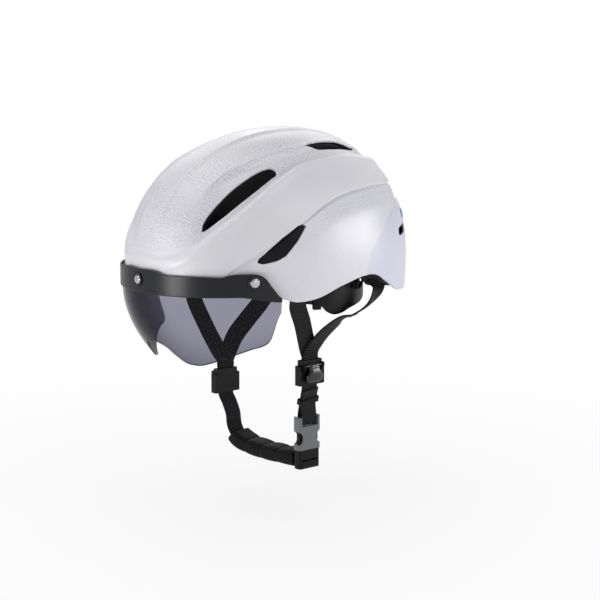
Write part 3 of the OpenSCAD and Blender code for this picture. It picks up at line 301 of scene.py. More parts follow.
def snapped(us, ts, apart):
    """Moves the grid points next to a hole onto its outline. Gives 1 outside, 0 on it and -1 inside."""
    far = apart(us, ts)
    rows, cols = ts.shape
    moves = {}
    for di, dj in ((0, 1), (1, 0)):
        a, b = far[:rows - di, :cols - dj], far[di:, dj:]
        for i, j in np.argwhere((a > 0) != (b > 0)):
            s = a[i, j]/(a[i, j] - b[i, j])
            start, end = (np.array([us[q], ts[q]]) for q in ((i, j), (i + di, j + dj)))
            key, need = ((i, j), s) if s < 0.5 else ((i + di, j + dj), 1 - s)
            if key not in moves or need < moves[key][0]:
                moves[key] = (need, start + (end - start)*s)
    for (i, j), (_, at) in moves.items():
        us[i, j], ts[i, j] = at
    ii, jj = np.array(list(moves)).T
    tiny, rounds = 0.02, 4
    for _ in range(rounds):
        u, t = us[ii, jj], ts[ii, jj]
        f = apart(u, t)
        gu = (apart(u + tiny, t) - apart(u - tiny, t))/(2*tiny)
        gt = (apart(u, t + tiny) - apart(u, t - tiny))/(2*tiny)
        size = np.maximum(gu**2 + gt**2, 1e-6)
        us[ii, jj], ts[ii, jj] = u - f*gu/size, t - f*gt/size
    far[ii, jj] = 0
    return np.sign(far)

def skin(name, us, ts, surface, thick, lip, holes=(), closed=False, marks=None, raw=False):
    """A formed sheet between its outer and inner face, with lips rolled in at its edges and holes.
    us has the columns' plan angles and ts the rows' rise angles, as a line or a grid. surface gives
    the point at a depth, and holes are distances in mm."""
    us, ts = (np.array(v, float) for v in np.broadcast_arrays(us, ts if np.ndim(ts) > 1 else ts[:, None]))
    rows, cols = ts.shape
    sign = np.ones(ts.shape)
    if holes:
        sign = snapped(us, ts, lambda u, t: np.min([hole(u, t) - lip for hole in holes], 0))
    faces = []
    for i in range(rows - 1):
        for j in range(cols if closed else cols - 1):
            quad = [(i, j), (i, (j + 1) % cols), (i + 1, (j + 1) % cols), (i + 1, j)]
            signs = [sign[q] for q in quad]
            ids = [q[0]*cols + q[1] for q in quad]
            if max(signs) > 0 and min(signs) >= 0:
                faces.append(tuple(ids))
            elif max(signs) > 0:
                k = signs.index(1)
                faces.append((ids[k - 1], ids[k], ids[(k + 1) % 4]))
    outer, inner = (surface(us, ts, depth).reshape(-1, 3) for depth in (0.0, thick))
    step = 0.05
    along_u = (surface(us + step, ts, 0.0) - surface(us - step, ts, 0.0)).reshape(-1, 3)
    along_t = (surface(us, ts + step, 0.0) - surface(us, ts - step, 0.0)).reshape(-1, 3)
    normal = np.cross(along_u, along_t)
    normal /= np.maximum(np.linalg.norm(normal, axis=1), 1e-9)[:, None]
    pole = np.array([0.0]), np.array([90.0])
    if closed:
        outer, inner = np.vstack([outer, surface(*pole, 0.0)]), np.vstack([inner, surface(*pole, thick)])
        normal = np.vstack([normal, [0, 0, 1]])
        last = (rows - 1)*cols
        faces += [(last + j, last + (j + 1) % cols, rows*cols) for j in range(cols)]
    has = {(a, b) for f in faces for a, b in zip(f, f[1:] + f[:1])}
    follows = {a: b for a, b in has if (b, a) not in has}
    before = {b: a for a, b in follows.items()}
    points, rings = [*outer], {}
    curls = [(math.sin(q), 1 - math.cos(q)) for q in np.radians([22, 45, 68, 90])]
    for a, b in follows.items():
        n = normal[a]
        e1, e2 = outer[a] - outer[before[a]], outer[b] - outer[a]
        o1, o2 = np.cross(e1/np.linalg.norm(e1), n), np.cross(e2/np.linalg.norm(e2), n)
        o = o1 + o2
        o = o/np.linalg.norm(o)/max(0.6, math.sqrt(max(0.0, (1 + float(o1 @ o2))/2)))
        rings[a] = []
        for s, c in curls + [(1, thick/lip)]:
            rings[a].append(len(points))
            points.append(outer[a] + (o*s - n*c)*lip)
    base = len(points)
    points = np.array(points + [*inner])
    solid = list(faces)
    for a, b in follows.items():
        ra, rb = [a] + rings[a] + [base + a], [b] + rings[b] + [base + b]
        solid += [(ra[k], ra[k + 1], rb[k + 1], rb[k]) for k in range(len(ra) - 1)]
    solid += [tuple(base + v for v in reversed(f)) for f in faces]
    used = np.zeros(len(points), bool)
    used[[v for f in solid for v in f]] = True
    new = np.cumsum(used) - 1
    mesh = bpy.data.meshes.new(name)
    mesh.from_pydata((points[used]/1000).tolist(), [], [tuple(int(new[v]) for v in f) for f in solid])
    mesh.shade_smooth()
    if marks:
        given = marks(us, ts).reshape(-1, 3)
        if closed:
            given = np.vstack([given, marks(*pole)])
        table = np.zeros((len(points), 3))
        table[:len(outer)] = table[base:] = given
        for a, ring in rings.items():
            table[ring] = given[a]
        table = table[used].astype(np.float32)
        corner = np.zeros(len(mesh.loops), np.int32)
        mesh.loops.foreach_get("vertex_index", corner)
        mesh.uv_layers.new(name="skin_mm").data.foreach_set("uv", table[corner, :2].ravel())
        mesh.attributes.new("dotted", "FLOAT", "POINT").data.foreach_set("value", table[:, 2].copy())
    mesh.update()
    return link(name, mesh) if raw else even_normals(link(name, mesh))

def rows_between(marks_t, counts):
    """Rise angles of the rows, from the angles that they follow and the number of steps between."""
    rows = [marks_t[0]]
    for low, high, n in zip(marks_t, marks_t[1:], counts):
        rows += [low + (high - low)*k/n for k in range(1, n + 1)]
    return np.array(rows)

def azimuthal(u, t):
    """Flat pattern coordinates in mm, spread from the top of the helmet."""
    mm_per_degree = 2.05
    r = (90 - t)*mm_per_degree
    return np.stack([r*np.cos(np.radians(u)), r*np.sin(np.radians(u))], -1)

def pearl(name, base, shade, dots):
    """In-moulded pearl film on polycarbonate under a clear coat. It gives the eye a broad soft
    highlight with a tighter one in it, and dots that show where the film is printed."""
    mat, tree, place = begun(name)
    look = {"Roughness": 0.42, "IOR": 1.58, "Coat Weight": 0.5, "Coat Roughness": 0.3,
            "Sheen Weight": 0.12, "Sheen Roughness": 0.3}
    # pearl flakes of about 0.7 mm, drawn coarser than the real ones so that they show
    flakes = reckon(tree, "MULTIPLY", cells(tree, place, 1500.0, "Color"), 0.35)
    blend = reckon(tree, "ADD", noise(tree, place, 14.0, 3.0), flakes)
    tint = shades(tree, blend, shade, base, 0.35, 0.95)
    if dots:
        # dots about 2.1 mm apart, unevenly set and fainter in places
        uv = add(tree, "ShaderNodeUVMap", uv_map="skin_mm").outputs[0]
        nearest = add(tree, "ShaderNodeTexVoronoi", {"Vector": uv, "Scale": 1/2.1, "Randomness": 0.85},
                      voronoi_dimensions="2D").outputs["Distance"]
        mask = add(tree, "ShaderNodeAttribute", attribute_name="dotted").outputs["Fac"]
        share = reckon(tree, "MULTIPLY", spread(tree, nearest, 1.0, 0.0, 0.16, 0.38), mask)
        patchy = spread(tree, noise(tree, place, 45.0), 0.55, 1.0, 0.4, 0.62)
        share = reckon(tree, "MULTIPLY", share, patchy)
        tint = add(tree, "ShaderNodeMix", {0: share, 6: tint, 7: linear(dots)}, data_type="RGBA").outputs[2]
        look["Normal"] = bumps(tree, share, 0.25, 0.0002)
    surfaced(tree, {**look, "Base Color": tint})
    return mat

crown_pearl = pearl("pearl_film_white", "#E6E5EA", "#DDDCE2", "#BBBAC4")
lower_pearl = pearl("pearl_film_side", "#E5E4EA", "#DAD9E2", "#C6C4D0")
rear_pearl = pearl("pearl_film_lavender", "#DBDAEA", "#D2D0E2", None)

def crown_marks(u, t):
    """Flat pattern coordinates of the crown, and how far its dots show."""
    g, k = curve(folded(u), groove_line), hood_t(u)
    dotted = ease(t, g + 1, g + 5)*(1 - 0.75*ease(t, 66, 84))
    return np.concatenate([azimuthal(u, t), dotted[..., None]], -1)

def crown_point(u, t, d):
    return form(u, t, d - relief(u, t))

lip = 0.9
us = np.arange(-90, 270, 1.0)
e, g, k = curve(folded(us), crease_line), curve(folded(us), groove_line), hood_t(us)
crown_rows = rows_between([e + 0.45, np.maximum(e + 1, g - 5), g + 3.2, np.maximum(g + 3.8, k - 6), k + 1,
                           0*k + 88.6], [13, 15, 7, 12, 22])
crown = skin("crown_shell_skin", us, crown_rows, crown_point, shell_t, lip, closed=True,
             holes=[slot_distance(front_vent), slot_distance(top_vent)], marks=crown_marks)
dress(crown, crown_pearl, "crown_shell", "helmet")

# ---- Lower and rear shells: separate formed shells that lap under the crown shell.
# The same pearl film in a cooler tone. The lower one carries the side vents, and the rear one
# stands a little proud of it and holds the accent and the two rear outlets.
side_vent = np.array([[-95, 43], [-94, 47], [-75, 61], [-57, 73], [-49, 75.5], [-46, 73.5], [-56, 61],
                      [-69, 48], [-77, 44], [-90, 41.5]], float)
rear_vent = [[38, 9.8, 4], [46, 10.4, 4.6], [54, 10.8, 4]]
accent_u, accent_t = 47.0, (13.6, 19.0)
accent_mid, accent_half = sum(accent_t)/2, (accent_t[1] - accent_t[0])/2

def lower_in(u, t):
    """How far the lower shell lies inside the plain form, under the crown and the rear shell."""
    groove_in, h = 0.9, folded(u)
    below = curve(h, crease_line) - t
    return (lap_step*(1 - ease(below, 2, 12)) + groove_in*(1 - ease(below, 0.5, 1.8))*ease(h, -47, -40)
            + rear_step*ease(h, 20, 45)*(1 - ease(t - curve(h, rear_line), 0, 7)))

def lower_point(u, t, d):
    return form(u, t, d + lower_in(u, t))

def side_vent_distance(u, t):
    """Distance in mm from the side vent's outline, seen from the side, with its corners rounded."""
    at = form(folded(u), t)[..., 1:]
    p = side_vent
    best, inside = np.full(np.shape(u), 1e9), np.zeros(np.shape(u), bool)
    for a, b in zip(p, np.roll(p, -1, 0)):
        e = b - a
        q = np.clip(((at - a) @ e)/(e @ e), 0, 1)
        best = np.minimum(best, np.linalg.norm(at - a - q[..., None]*e, axis=-1))
        crosses = (a[1] > at[..., 1]) != (b[1] > at[..., 1])
        with np.errstate(divide="ignore", invalid="ignore"):
            x = a[0] + (at[..., 1] - a[1])*e[0]/np.where(e[1] == 0, 1e-9, e[1])
        inside ^= crosses & (at[..., 0] < x)
    return np.where(inside, -best, best)

def lower_marks(u, t):
    """Flat pattern coordinates of the lower shell, and how far its dots show."""
    h = folded(u)
    c = curve(h, crease_line)
    dotted = ease(t, c - 15, c - 8)*ease(h, -24, -10)*(1 - ease(h, 44, 62))
    return np.concatenate([azimuthal(u, t), dotted[..., None]], -1)

us = np.linspace(-47.6, 227.6, 277)
h = folded(us)
low = np.where(h < 9, curve(h, rim_line) + 0.4, curve(h, rear_line) - 0.45*ease(h, 9, 14))
high = curve(h, crease_line) + 0.45
lower_rows = rows_between([low, low + (high - low)*0.5, high], [22, 26])
lower = skin("lower_shell_skin", us, lower_rows, lower_point, shell_t, lip,
             holes=[side_vent_distance], marks=lower_marks)
dress(lower, lower_pearl, "lower_shell", "helmet")

def accent_distance(u, t):
    """Distance in mm from the slot of the accent, with rounded ends."""
    mm_along, mm_across, corner = 1.75, 2.0, 3.0
    a = (accent_u - 0.1 - folded(u))*mm_along + corner
    b = abs(t - accent_mid)*mm_across - accent_half*mm_across + corner
    beyond = np.hypot(np.maximum(a, 0), np.maximum(b, 0))
    return np.where((a > 0) & (b > 0), beyond, np.maximum(a, b)) - corner

us = np.linspace(9.5, 170.5, 191)
h = folded(us)
low, high = curve(h, rim_line) + 0.4, curve(h, rear_line) - seam/2 - 0.4
rear_rows = rows_between([low, np.maximum(high, low + 0.3)], [46])
rear = skin("rear_shell_skin", us, rear_rows, form, shell_t, lip,
            holes=[accent_distance, slot_distance(rear_vent)])
dress(rear, rear_pearl, "rear_shell", "helmet")

# ---- Visor: a thermoformed polycarbonate lens with a printed black frame, held by three magnets.
# The lens is smoke-tinted and 1.8 mm thick; its frame is satin black and covers its upper edge.
visor_gap, lens_t, frame_t, frame_low = 0.9, 1.8, 1.6, 13.0
lobe_z, nose_z, draw_in, frame_seat, frame_droop = 56.0, 34.0, 30.0, 0.25, 6.0
visor_end = 27.0
magnet_d, ring_w = 9.0, 2.0
magnet_places = [(-90, 25), (-37, 26), (-143, 26)]
frame_top = [[0, 34.8], [7, 35.2], [12, 34.8], [16, 32.2], [24, 32], [34, 31.9], [41.5, 31.4], [45.5, 33.6],
             [50, 34], [54.5, 33.2], [57, 29.5], [60, 19], [63, 11]]
lens_low = [[0, -nose_z], [5, -nose_z - 1.2], [10, -nose_z - 4.8], [14, -lobe_z + 9.5],
            [18.5, -lobe_z + 2.2], [23, -lobe_z + 0.2], [28, -lobe_z], [38, -lobe_z + 5.4],
            [46, -lobe_z + 11.5], [53, -lobe_z + 17], [58, -lobe_z + 20.6], [60, -29], [61.5, -11],
            [63, -3]]

def visor_point(u, z, d):
    """A point of the visor's form at plan angle u and height z, d mm outside its inner face."""
    drop = np.maximum(0, frame_low - z)
    q = drop/(frame_low + lobe_z)
    b = half_w + visor_gap - 1.1*draw_in*q*q + d
    a = front_l + visor_gap - draw_in*q*q + d
    cu, su = np.cos(np.radians(u)), np.sin(np.radians(u))
    k = (abs(cu)**plan_full + abs(su)**plan_full)**(-1/plan_full)
    return np.stack([b*k*cu, a*k*su, z + 0*u], -1)

def magnet_distance(radius):
    """Distance in mm from the round holes for the magnets."""
    middles = [visor_point(*place, 0) for place in magnet_places]
    def distance(u, z):
        at = visor_point(u, z, 0)
        return np.min([np.linalg.norm(at - middle, axis=-1) for middle in middles], 0) - radius
    return distance

def visor_piece(name, low, high, rows, d_out, thick, lip):
    """A sheet of the visor between two heights, which depend on the angle from its middle."""
    us = np.linspace(visor_end - 180 + 0.35, -visor_end - 0.35, 241)
    w = abs(us + 90)
    lo, hi = low(w) + lip, high(w) - lip
    grid = rows_between([lo, hi], [rows])
    return skin(name, us, grid,
                lambda u, z, d: visor_point(u, z, d_out - d), thick, lip,
                holes=[magnet_distance(magnet_d/2 + 0.15)])

lens = visor_piece("visor_lens_sheet", lambda w: curve(w, lens_low), lambda w: curve(w, frame_top) - 1.5,
                   44, lens_t, lens_t, 0.5)
smoke, tree, place = begun("smoke_polycarbonate")
# a dyed optical sheet with a hard coat: each of its two faces takes its share of the light, so that
# the far side seen through the near one is darker, and a sharp reflection lies on top
haze = spread(tree, noise(tree, place, 22.0, 3.0), 0.05, 0.09, 0.4, 0.8)
gloss = add(tree, "ShaderNodeBsdfPrincipled", {"Base Color": linear("#E8E8F0"), "Metallic": 1.0,
                                               "Roughness": haze})
facing = add(tree, "ShaderNodeLayerWeight", {"Blend": 0.5}).outputs["Facing"]
deeper = spread(tree, facing, 0.0, 1.0, 0.15, 0.75, interpolation_type="SMOOTHSTEP")
tone = add(tree, "ShaderNodeMix", {0: deeper, 6: linear("#C0BFC9"), 7: linear("#8C8B93")}, data_type="RGBA")
dye = add(tree, "ShaderNodeBsdfTransparent", {"Color": tone.outputs[2]})
grazing = reckon(tree, "MULTIPLY_ADD", reckon(tree, "POWER", facing, 5.0), 0.9, 0.012)
layered = add(tree, "ShaderNodeMixShader", {0: grazing, 1: dye.outputs[0], 2: gloss.outputs[0]})
add(tree, "ShaderNodeOutputMaterial", {"Surface": layered.outputs[0]})
dress(lens, smoke, "visor_lens", "visor")

band = visor_piece("visor_frame_band", lambda w: frame_low - ease(w, 47, 63)*frame_droop,
                   lambda w: curve(w, frame_top), 20, lens_t + frame_seat + frame_t, frame_t, 0.6)
satin_black, tree, place = begun("satin_black_polycarbonate")
# moulded with a fine spark-eroded face, 0.55 mm grain, that blurs its highlights
grain = noise(tree, place, 1800.0)
surfaced(tree, {"Roughness": 0.33, "IOR": 1.5, "Specular IOR Level": 0.34,
                "Base Color": shades(tree, grain, "#101114", "#1B1C20"),
                "Normal": bumps(tree, grain, 0.15, 0.00005)})
dress(band, satin_black, "visor_frame", "visor")

def solid_mesh(name, points, faces, merge=None):
    """A smooth closed piece from points in mm, with its faces turned outwards."""
    mesh = bpy.data.meshes.new(name)
    mesh.from_pydata((np.array(points)/1000).tolist(), [], faces)
    made = bmesh.new()
    made.from_mesh(mesh)
    if merge:
        bmesh.ops.remove_doubles(made, verts=made.verts, dist=merge)
    bmesh.ops.recalc_face_normals(made, faces=made.faces)
    made.to_mesh(mesh)
    made.free()
    mesh.shade_smooth()
    return link(name, mesh)

def on_magnets(name, profile, material, node, sides=64):
    """A turned piece on each magnet's place, from [radius, height over the shell's form] points."""
    points, faces = [], []
    turns = [2*math.pi*k/sides for k in range(sides)]
    open_profile = profile[0][0] == 0
    for u, z in magnet_places:
        at = visor_point(u, z, -visor_gap)
        aside = visor_point(u + 1, z, -visor_gap) - at
        aside /= np.linalg.norm(aside)
        out = np.cross(aside, [0, 0, 1.0])
        up = np.cross(out, aside)
        start = len(points)
        points += [at + out*h + aside*r*math.cos(q) + up*r*math.sin(q) for r, h in profile for q in turns]
        for i in range(len(profile) - open_profile):
            for k in range(sides):
                i2, k2 = (i + 1) % len(profile), (k + 1) % sides
                faces.append([start + a*sides + b for a, b in ((i, k), (i, k2), (i2, k2), (i2, k))])
    dress(solid_mesh(name, points, faces, 1e-7), material, node, "visor")

def plated(name, colour, marks, low, high):
    """Plated metal with marks, so many to the metre, that vary its gloss."""
    mat, tree, place = begun(name)
    surfaced(tree, {"Base Color": linear(colour), "Metallic": 1.0,
                    "Roughness": spread(tree, noise(tree, place, marks), low, high)})
    return mat

nickel = plated("polished_nickel_plate", "#C4C4C8", 900.0, 0.1, 0.22)
# bright plated steel with faint turning marks
face = visor_gap + lens_t + frame_seat + frame_t
r = magnet_d/2
button_profile = [[0, 1.1], [r - 0.3, 1.1], [r, 1.4], [r, face + 0.5], [r - 0.12, face + 0.85],
                  [r - 0.5, face + 1.12], [r - 1.0, face + 1.3], [r - 2.2, face + 1.39], [0, face + 1.4]]
on_magnets("magnet_buttons", button_profile, nickel, "visor_magnets")
r = (magnet_d + 0.3)/2
ring_profile = [[r, face + 0.25], [r, face + 1.15], [r + 0.2, face + 1.33], [r + ring_w - 0.5, face + 1.33],
                [r + ring_w - 0.1, face + 1.05], [r + ring_w, face + 0.6], [r + ring_w, face + 0.25]]
on_magnets("magnet_rings_turned", ring_profile, satin_black, "magnet_rings")

# ---- Rear accent and side vent inserts: small moulded parts that fill openings of the lower shells.
# The accent is a teal polycarbonate strip, clipped in and a little proud, with prism facets behind its
# face, whose glints are painted into its colour. The inserts are black nylon, glued into the side vents
# from inside.
teal, tree, place = begun("teal_gloss_polycarbonate")
# injection-moulded reflector plastic: clear gloss over tiny prism facets 1.6 mm apart, with painted
# glints: each facet is painted lighter in its middle and darker at its edges
prism_glints = cells(tree, place, 620.0, distance="CHEBYCHEV")
surfaced(tree, {"Roughness": 0.16, "IOR": 1.58, "Coat Weight": 0.5, "Coat Roughness": 0.05,
                "Base Color": shades(tree, prism_glints, "#2A98CC", "#166CA0")})

accent_proud, accent_crown = 0.5, 1.3

def accent_point(u, t, d):
    bulge = 1 - np.minimum(1, abs(t - accent_mid)/accent_half)**2
    return form(u, t, d + accent_proud - accent_crown*bulge)

accent = skin("accent_strip", np.linspace(accent_u - 2, 182 - accent_u, 171),
              np.linspace(accent_t[0] - 1.2, accent_t[1] + 1.2, 20), accent_point, 1.5, 0.35,
              holes=[lambda u, t: -accent_distance(u, t) - 0.25])
dress(accent, teal, "rear_accent", "helmet")

def moulded(name, dark, light, rough, grain_mm=0.6, coat=0.0, specular=0.16):
    """Injection-moulded plastic: a fine spark-eroded grain that softens its gloss unevenly."""
    mat, tree, place = begun(name)
    wear = noise(tree, place, 90.0, 4.0)
    surfaced(tree, {"IOR": 1.53, "Specular IOR Level": specular, "Coat Weight": coat,
                    "Base Color": shades(tree, wear, dark, light),
                    "Roughness": spread(tree, wear, rough - 0.08, rough + 0.1),
                    "Normal": bumps(tree, noise(tree, place, 1000/grain_mm), 0.25, 0.00006)})
    return mat

nylon = moulded("moulded_black_nylon", "#09090B", "#121215", 0.36)

def joined(name, pieces):
    """One mesh from several."""
    made = bmesh.new()
    for piece in pieces:
        made.from_mesh(piece.data)
        bpy.data.objects.remove(piece)
    mesh = bpy.data.meshes.new(name)
    made.to_mesh(mesh)
    made.free()
    return link(name, mesh)

sides = []
for start, end in ((-42, -12), (192, 222)):
    sides.append(skin("vent_side", np.linspace(start, end, 61), np.linspace(1, 23, 45),
                      lambda u, t, d: lower_point(u, t, d + shell_t*0.6), 1.6, 0.3,
                      holes=[lambda u, t: -side_vent_distance(u, t) - 0.3], raw=True))
inserts = even_normals(joined("vent_insert_skins", sides))
dress(inserts, nylon, "side_vent_inserts", "helmet")

# ---- Foam liner: the energy-absorbing body of the helmet.
# Black expanded polystyrene, moulded in one piece inside the shells, with its edges rounded by the
# mould and its air passages running through.
foam_black, tree, place = begun("expanded_polystyrene_black")
# fused beads about 3.5 mm across, each a low bump, with a dull skin
bead = spread(tree, cells(tree, place, 290.0, feature="DISTANCE_TO_EDGE"), 0.0, 1.0, 0.0, 0.12)
surfaced(tree, {"Roughness": 0.75, "Specular IOR Level": 0.3,
                "Base Color": shades(tree, cells(tree, place, 290.0, "Color"), "#0E0E10", "#1D1D20"),
                "Normal": bumps(tree, bead, 0.5, 0.0003)})

def copied(name, node):
    """A new piece with the merged mesh of a CAD node."""
    made = bmesh.new()
    made.from_mesh(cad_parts[node].data)
    bmesh.ops.remove_doubles(made, verts=made.verts, dist=1e-6)
    mesh = bpy.data.meshes.new(name)
    made.to_mesh(mesh)
    made.free()
    return link(name, mesh)

def remeshed(piece, cell, rounds):
    """The piece in small even faces, cell mm wide, with its edges eased over so many rounds."""
    grid = piece.modifiers.new("even", "REMESH")
    grid.mode, grid.voxel_size = "VOXEL", cell/1000
    grid.use_smooth_shade = True
    eased = piece.modifiers.new("eased", "SMOOTH")
    eased.factor, eased.iterations = 0.5, rounds
    return settled(piece)

foam = remeshed(copied("foam_body", "foam_liner"), 1.7, 4)
dress(foam, foam_black, "foam_liner", "helmet")

# ---- Comfort pads: brow pad, crown and side pads, belt pads and cradle pad.
# Brushed polyester tricot over soft foam, die cut with a pressed edge, held to hook patches on the
# foam. Each is filled by a short cloth simulation that rounds it between its edges.
pad_cloth, tree, place = begun("brushed_tricot_cloth")
# short nap with a soft sheen, and knit wales that show as a 1.2 mm grain
nap = noise(tree, place, 1100.0, 5.0, Roughness=0.7)
surfaced(tree, {"Roughness": 0.95, "Sheen Weight": 0.35, "Sheen Roughness": 0.5, "Specular IOR Level": 0.2,
                "Base Color": shades(tree, nap, "#0B0B0D", "#1E1E22", 0.3, 0.7),
                "Normal": bumps(tree, reckon(tree, "ADD", nap, cells(tree, place, 830.0)), 0.7, 0.0002)})

cloth_pads = []
for name, node, body, cell in (("brow_cushion", "brow_pad", "helmet", 2.0),
                               ("crown_cushions", "crown_pads", "helmet", 1.6),
                               ("side_cushions", "side_pads", "helmet", 1.6),
                               ("left_belt_cushion", "belt_pad_left", "left_fit_belt", 1.3),
                               ("right_belt_cushion", "belt_pad_right", "right_fit_belt", 1.3),
                               ("cradle_cushion", "cradle_pad", "helmet", 1.3)):
    cloth_pads.append((remeshed(copied(name, node), cell, 6), node, body))
last_frame, most_swell = 14, 0.0009
for pad, node, body in cloth_pads:
    puff = pad.modifiers.new("puff", "CLOTH")
    puff.settings.use_pressure = True
    puff.settings.uniform_pressure_force = 4.0
    puff.settings.effector_weights.gravity = 0.0
    puff.settings.quality = 4
    puff.collision_settings.use_collision = False
    puff.point_cache.frame_start, puff.point_cache.frame_end = 1, last_frame
for number in range(1, last_frame + 1):
    scene.frame_set(number)
graph = bpy.context.evaluated_depsgraph_get()
shapes = []
for pad, node, body in cloth_pads:
    swollen, calm = (np.zeros(len(pad.data.vertices)*3) for _ in range(2))
    pad.evaluated_get(graph).data.vertices.foreach_get("co", swollen)
    pad.data.vertices.foreach_get("co", calm)
    move = (swollen - calm).reshape(-1, 3)
    length = np.linalg.norm(move, axis=1)[:, None]
    shapes.append((pad, calm + (move*np.minimum(1, most_swell/np.maximum(length, 1e-9))).ravel()))
scene.frame_set(1)
for pad, shape in shapes:
    pad.modifiers.clear()
    pad.data.vertices.foreach_set("co", shape)
    pad.data.update()
for pad, node, body in cloth_pads:
    finer = pad.modifiers.new("finer", "SUBSURF")
    finer.levels = finer.render_levels = 1
    settled(pad)
    dress(pad, pad_cloth, node, body)

# ---- Headband, hook patches, temple guides and shell magnets: the fixed parts inside the rim.
# Black nylon strips and loops pressed or glued to the foam, and nickel-plated magnets set flush in it.
def softened(name, node, edge, body="helmet", finish=nylon, angle=32):
    """A moulded copy of a CAD node, with its sharp edges rounded by edge mm."""
    piece = copied(name, node)
    made = bmesh.new()
    made.from_mesh(piece.data)
    bmesh.ops.dissolve_limit(made, angle_limit=math.radians(1.5), verts=made.verts, edges=made.edges)
    made.to_mesh(piece.data)
    made.free()
    round_edges = piece.modifiers.new("round_edges", "BEVEL")
    round_edges.width, round_edges.segments = edge/1000, 2
    round_edges.limit_method, round_edges.angle_limit = "ANGLE", math.radians(angle)
    round_edges.miter_outer = "MITER_ARC"
    settled(piece)
    piece.data.polygons.foreach_set("use_smooth", [True]*len(piece.data.polygons))
    piece.data.set_sharp_from_angle(angle=math.radians(50))
    dress(even_normals(piece), finish, node, body)

softened("headband_strip", "headband", 0.4)
softened("temple_loops", "temple_guides", 0.3)

hook_pile, tree, place = begun("hook_fastener_tape")
# moulded nylon hook heads about 1.5 mm apart, which make the patches look rough and dull; the colour
# is painted lighter on each hook and darker between them, a painted highlight and shade
hook_relief_and_shade = cells(tree, place, 670.0)
surfaced(tree, {"Roughness": 0.85, "Base Color": shades(tree, hook_relief_and_shade, "#26262A", "#0E0E10"),
                "Normal": bumps(tree, hook_relief_and_shade, 0.9, 0.0004, invert=True)})

def refinish(node, finish):
    """The CAD node keeps its mesh and gets a finish."""
    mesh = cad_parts[node].data
    mesh.materials.clear()
    mesh.materials.append(finish)

refinish("pad_hooks", hook_pile)
refinish("shell_magnets", nickel)

# ---- Retention cradle: fit belts, case, dial and hanging arms.
# Two thin nylon belts slide in a case behind the head; their racks meet the acetal pinion of a
# rubber-edged dial. Two straps hang the case from pegs in the foam.
belt_r, belt_t, hub_y, dial_z = 75.0, 1.8, 8.0, -8.0
# the belts' lower and upper edge at each angle: the wings at the temples, then the racks behind
wing = np.array([[-30, 3, 8.5], [-21, 2.6, 8.6], [-17, 0.4, 9.6], [-12, -0.6, 10.4], [-8, -5.6, 12.6],
                 [-2, -9, 15], [6, -8.4, 17], [14, -5.6, 14], [24, -4, 11], [34, -2.4, 10.6], [40, -1, 13],
                 [45, 0, 15.4], [49, 1.4, 14.6], [53, 3, 11.4]])
tooth_angle, tooth_low, rack_low, rack_high = 2.4, 4.15, 6.15, 10.15
rack = [[angle, rack_low, rack_high] for angle in (58, 62, 66)]
for k in range(-8, 5):
    middle = 90 + (k + 0.5)*tooth_angle
    rack += [[middle + s*tooth_angle, rack_low if abs(s) > 0.2 else tooth_low, rack_high]
             for s in (-0.33, -0.1, 0.1, 0.33)]
rack += [[105, rack_low, rack_high]]
a = np.arange(-30, 53.1, 0.75)
columns = np.vstack([np.stack([a, curve(a, wing[:, :2]), curve(a, wing[:, [0, 2]])], -1), rack])
belt_lip = 0.35

def belt_point(a, z, d):
    """A point of the belts' arc behind the head, d mm under its outer face."""
    r, a = belt_r + belt_t/2 - d, np.radians(a)
    return np.stack([r*np.cos(a), hub_y + r*np.sin(a), z + 0*a], -1)

for name, node, body, side in (("left_belt_plate", "belt_left", "left_fit_belt", 1),
                               ("right_belt_plate", "belt_right", "right_fit_belt", -1)):
    low, high = columns[:, 1].copy(), columns[:, 2].copy()
    if side < 0:
        flat = columns[:, 0] > 57
        low[flat], high[flat] = -columns[flat, 2], -columns[flat, 1]
    angle = columns[:, 0] if side > 0 else 180 - columns[::-1, 0]
    low, high = (low, high) if side > 0 else (low[::-1], high[::-1])
    heights = dial_z + (low + belt_lip) + (high - low - 2*belt_lip)*np.linspace(0, 1, 9)[:, None]
    plate = skin(name, angle, heights, belt_point, belt_t, belt_lip)
    dress(plate, nylon, node, body)

dial_rubber = moulded("dial_rubber", "#101012", "#18181B", 0.6, 1.1)
# soft overmoulded rubber: dull, with a coarser grain
grey_acetal = moulded("moulded_grey_acetal", "#66676A", "#77787B", 0.36, specular=0.4)
white_acetal = moulded("natural_acetal", "#D2D0C8", "#E2E0D8", 0.35)
steel = plated("zinc_plated_steel", "#B9BBBE", 700.0, 0.22, 0.42)
# small screws with a thin, slightly uneven plating that varies the gloss

softened("cradle_case", "cradle_housing", 0.5)
softened("cradle_face", "cradle_cover", 0.6)
softened("cradle_hangers", "cradle_arms", 0.5)
softened("dial_grip", "dial_knob", 0.5, "dial", dial_rubber)
softened("dial_lid", "dial_cap", 0.5, "dial", grey_acetal)
refinish("dial_pinion", white_acetal)
refinish("dial_screw", steel)
refinish("cradle_screws", steel)

# ---- Straps: woven polyester webbing, 18 mm wide, and the anchors that it is sewn round.
# Each runs flat along its own way and is sewn where it ends; the free tail is folded and stitched.
strap_w, strap_t = 18.0, 1.5
webbing_black, tree, place = begun("woven_polyester_webbing")
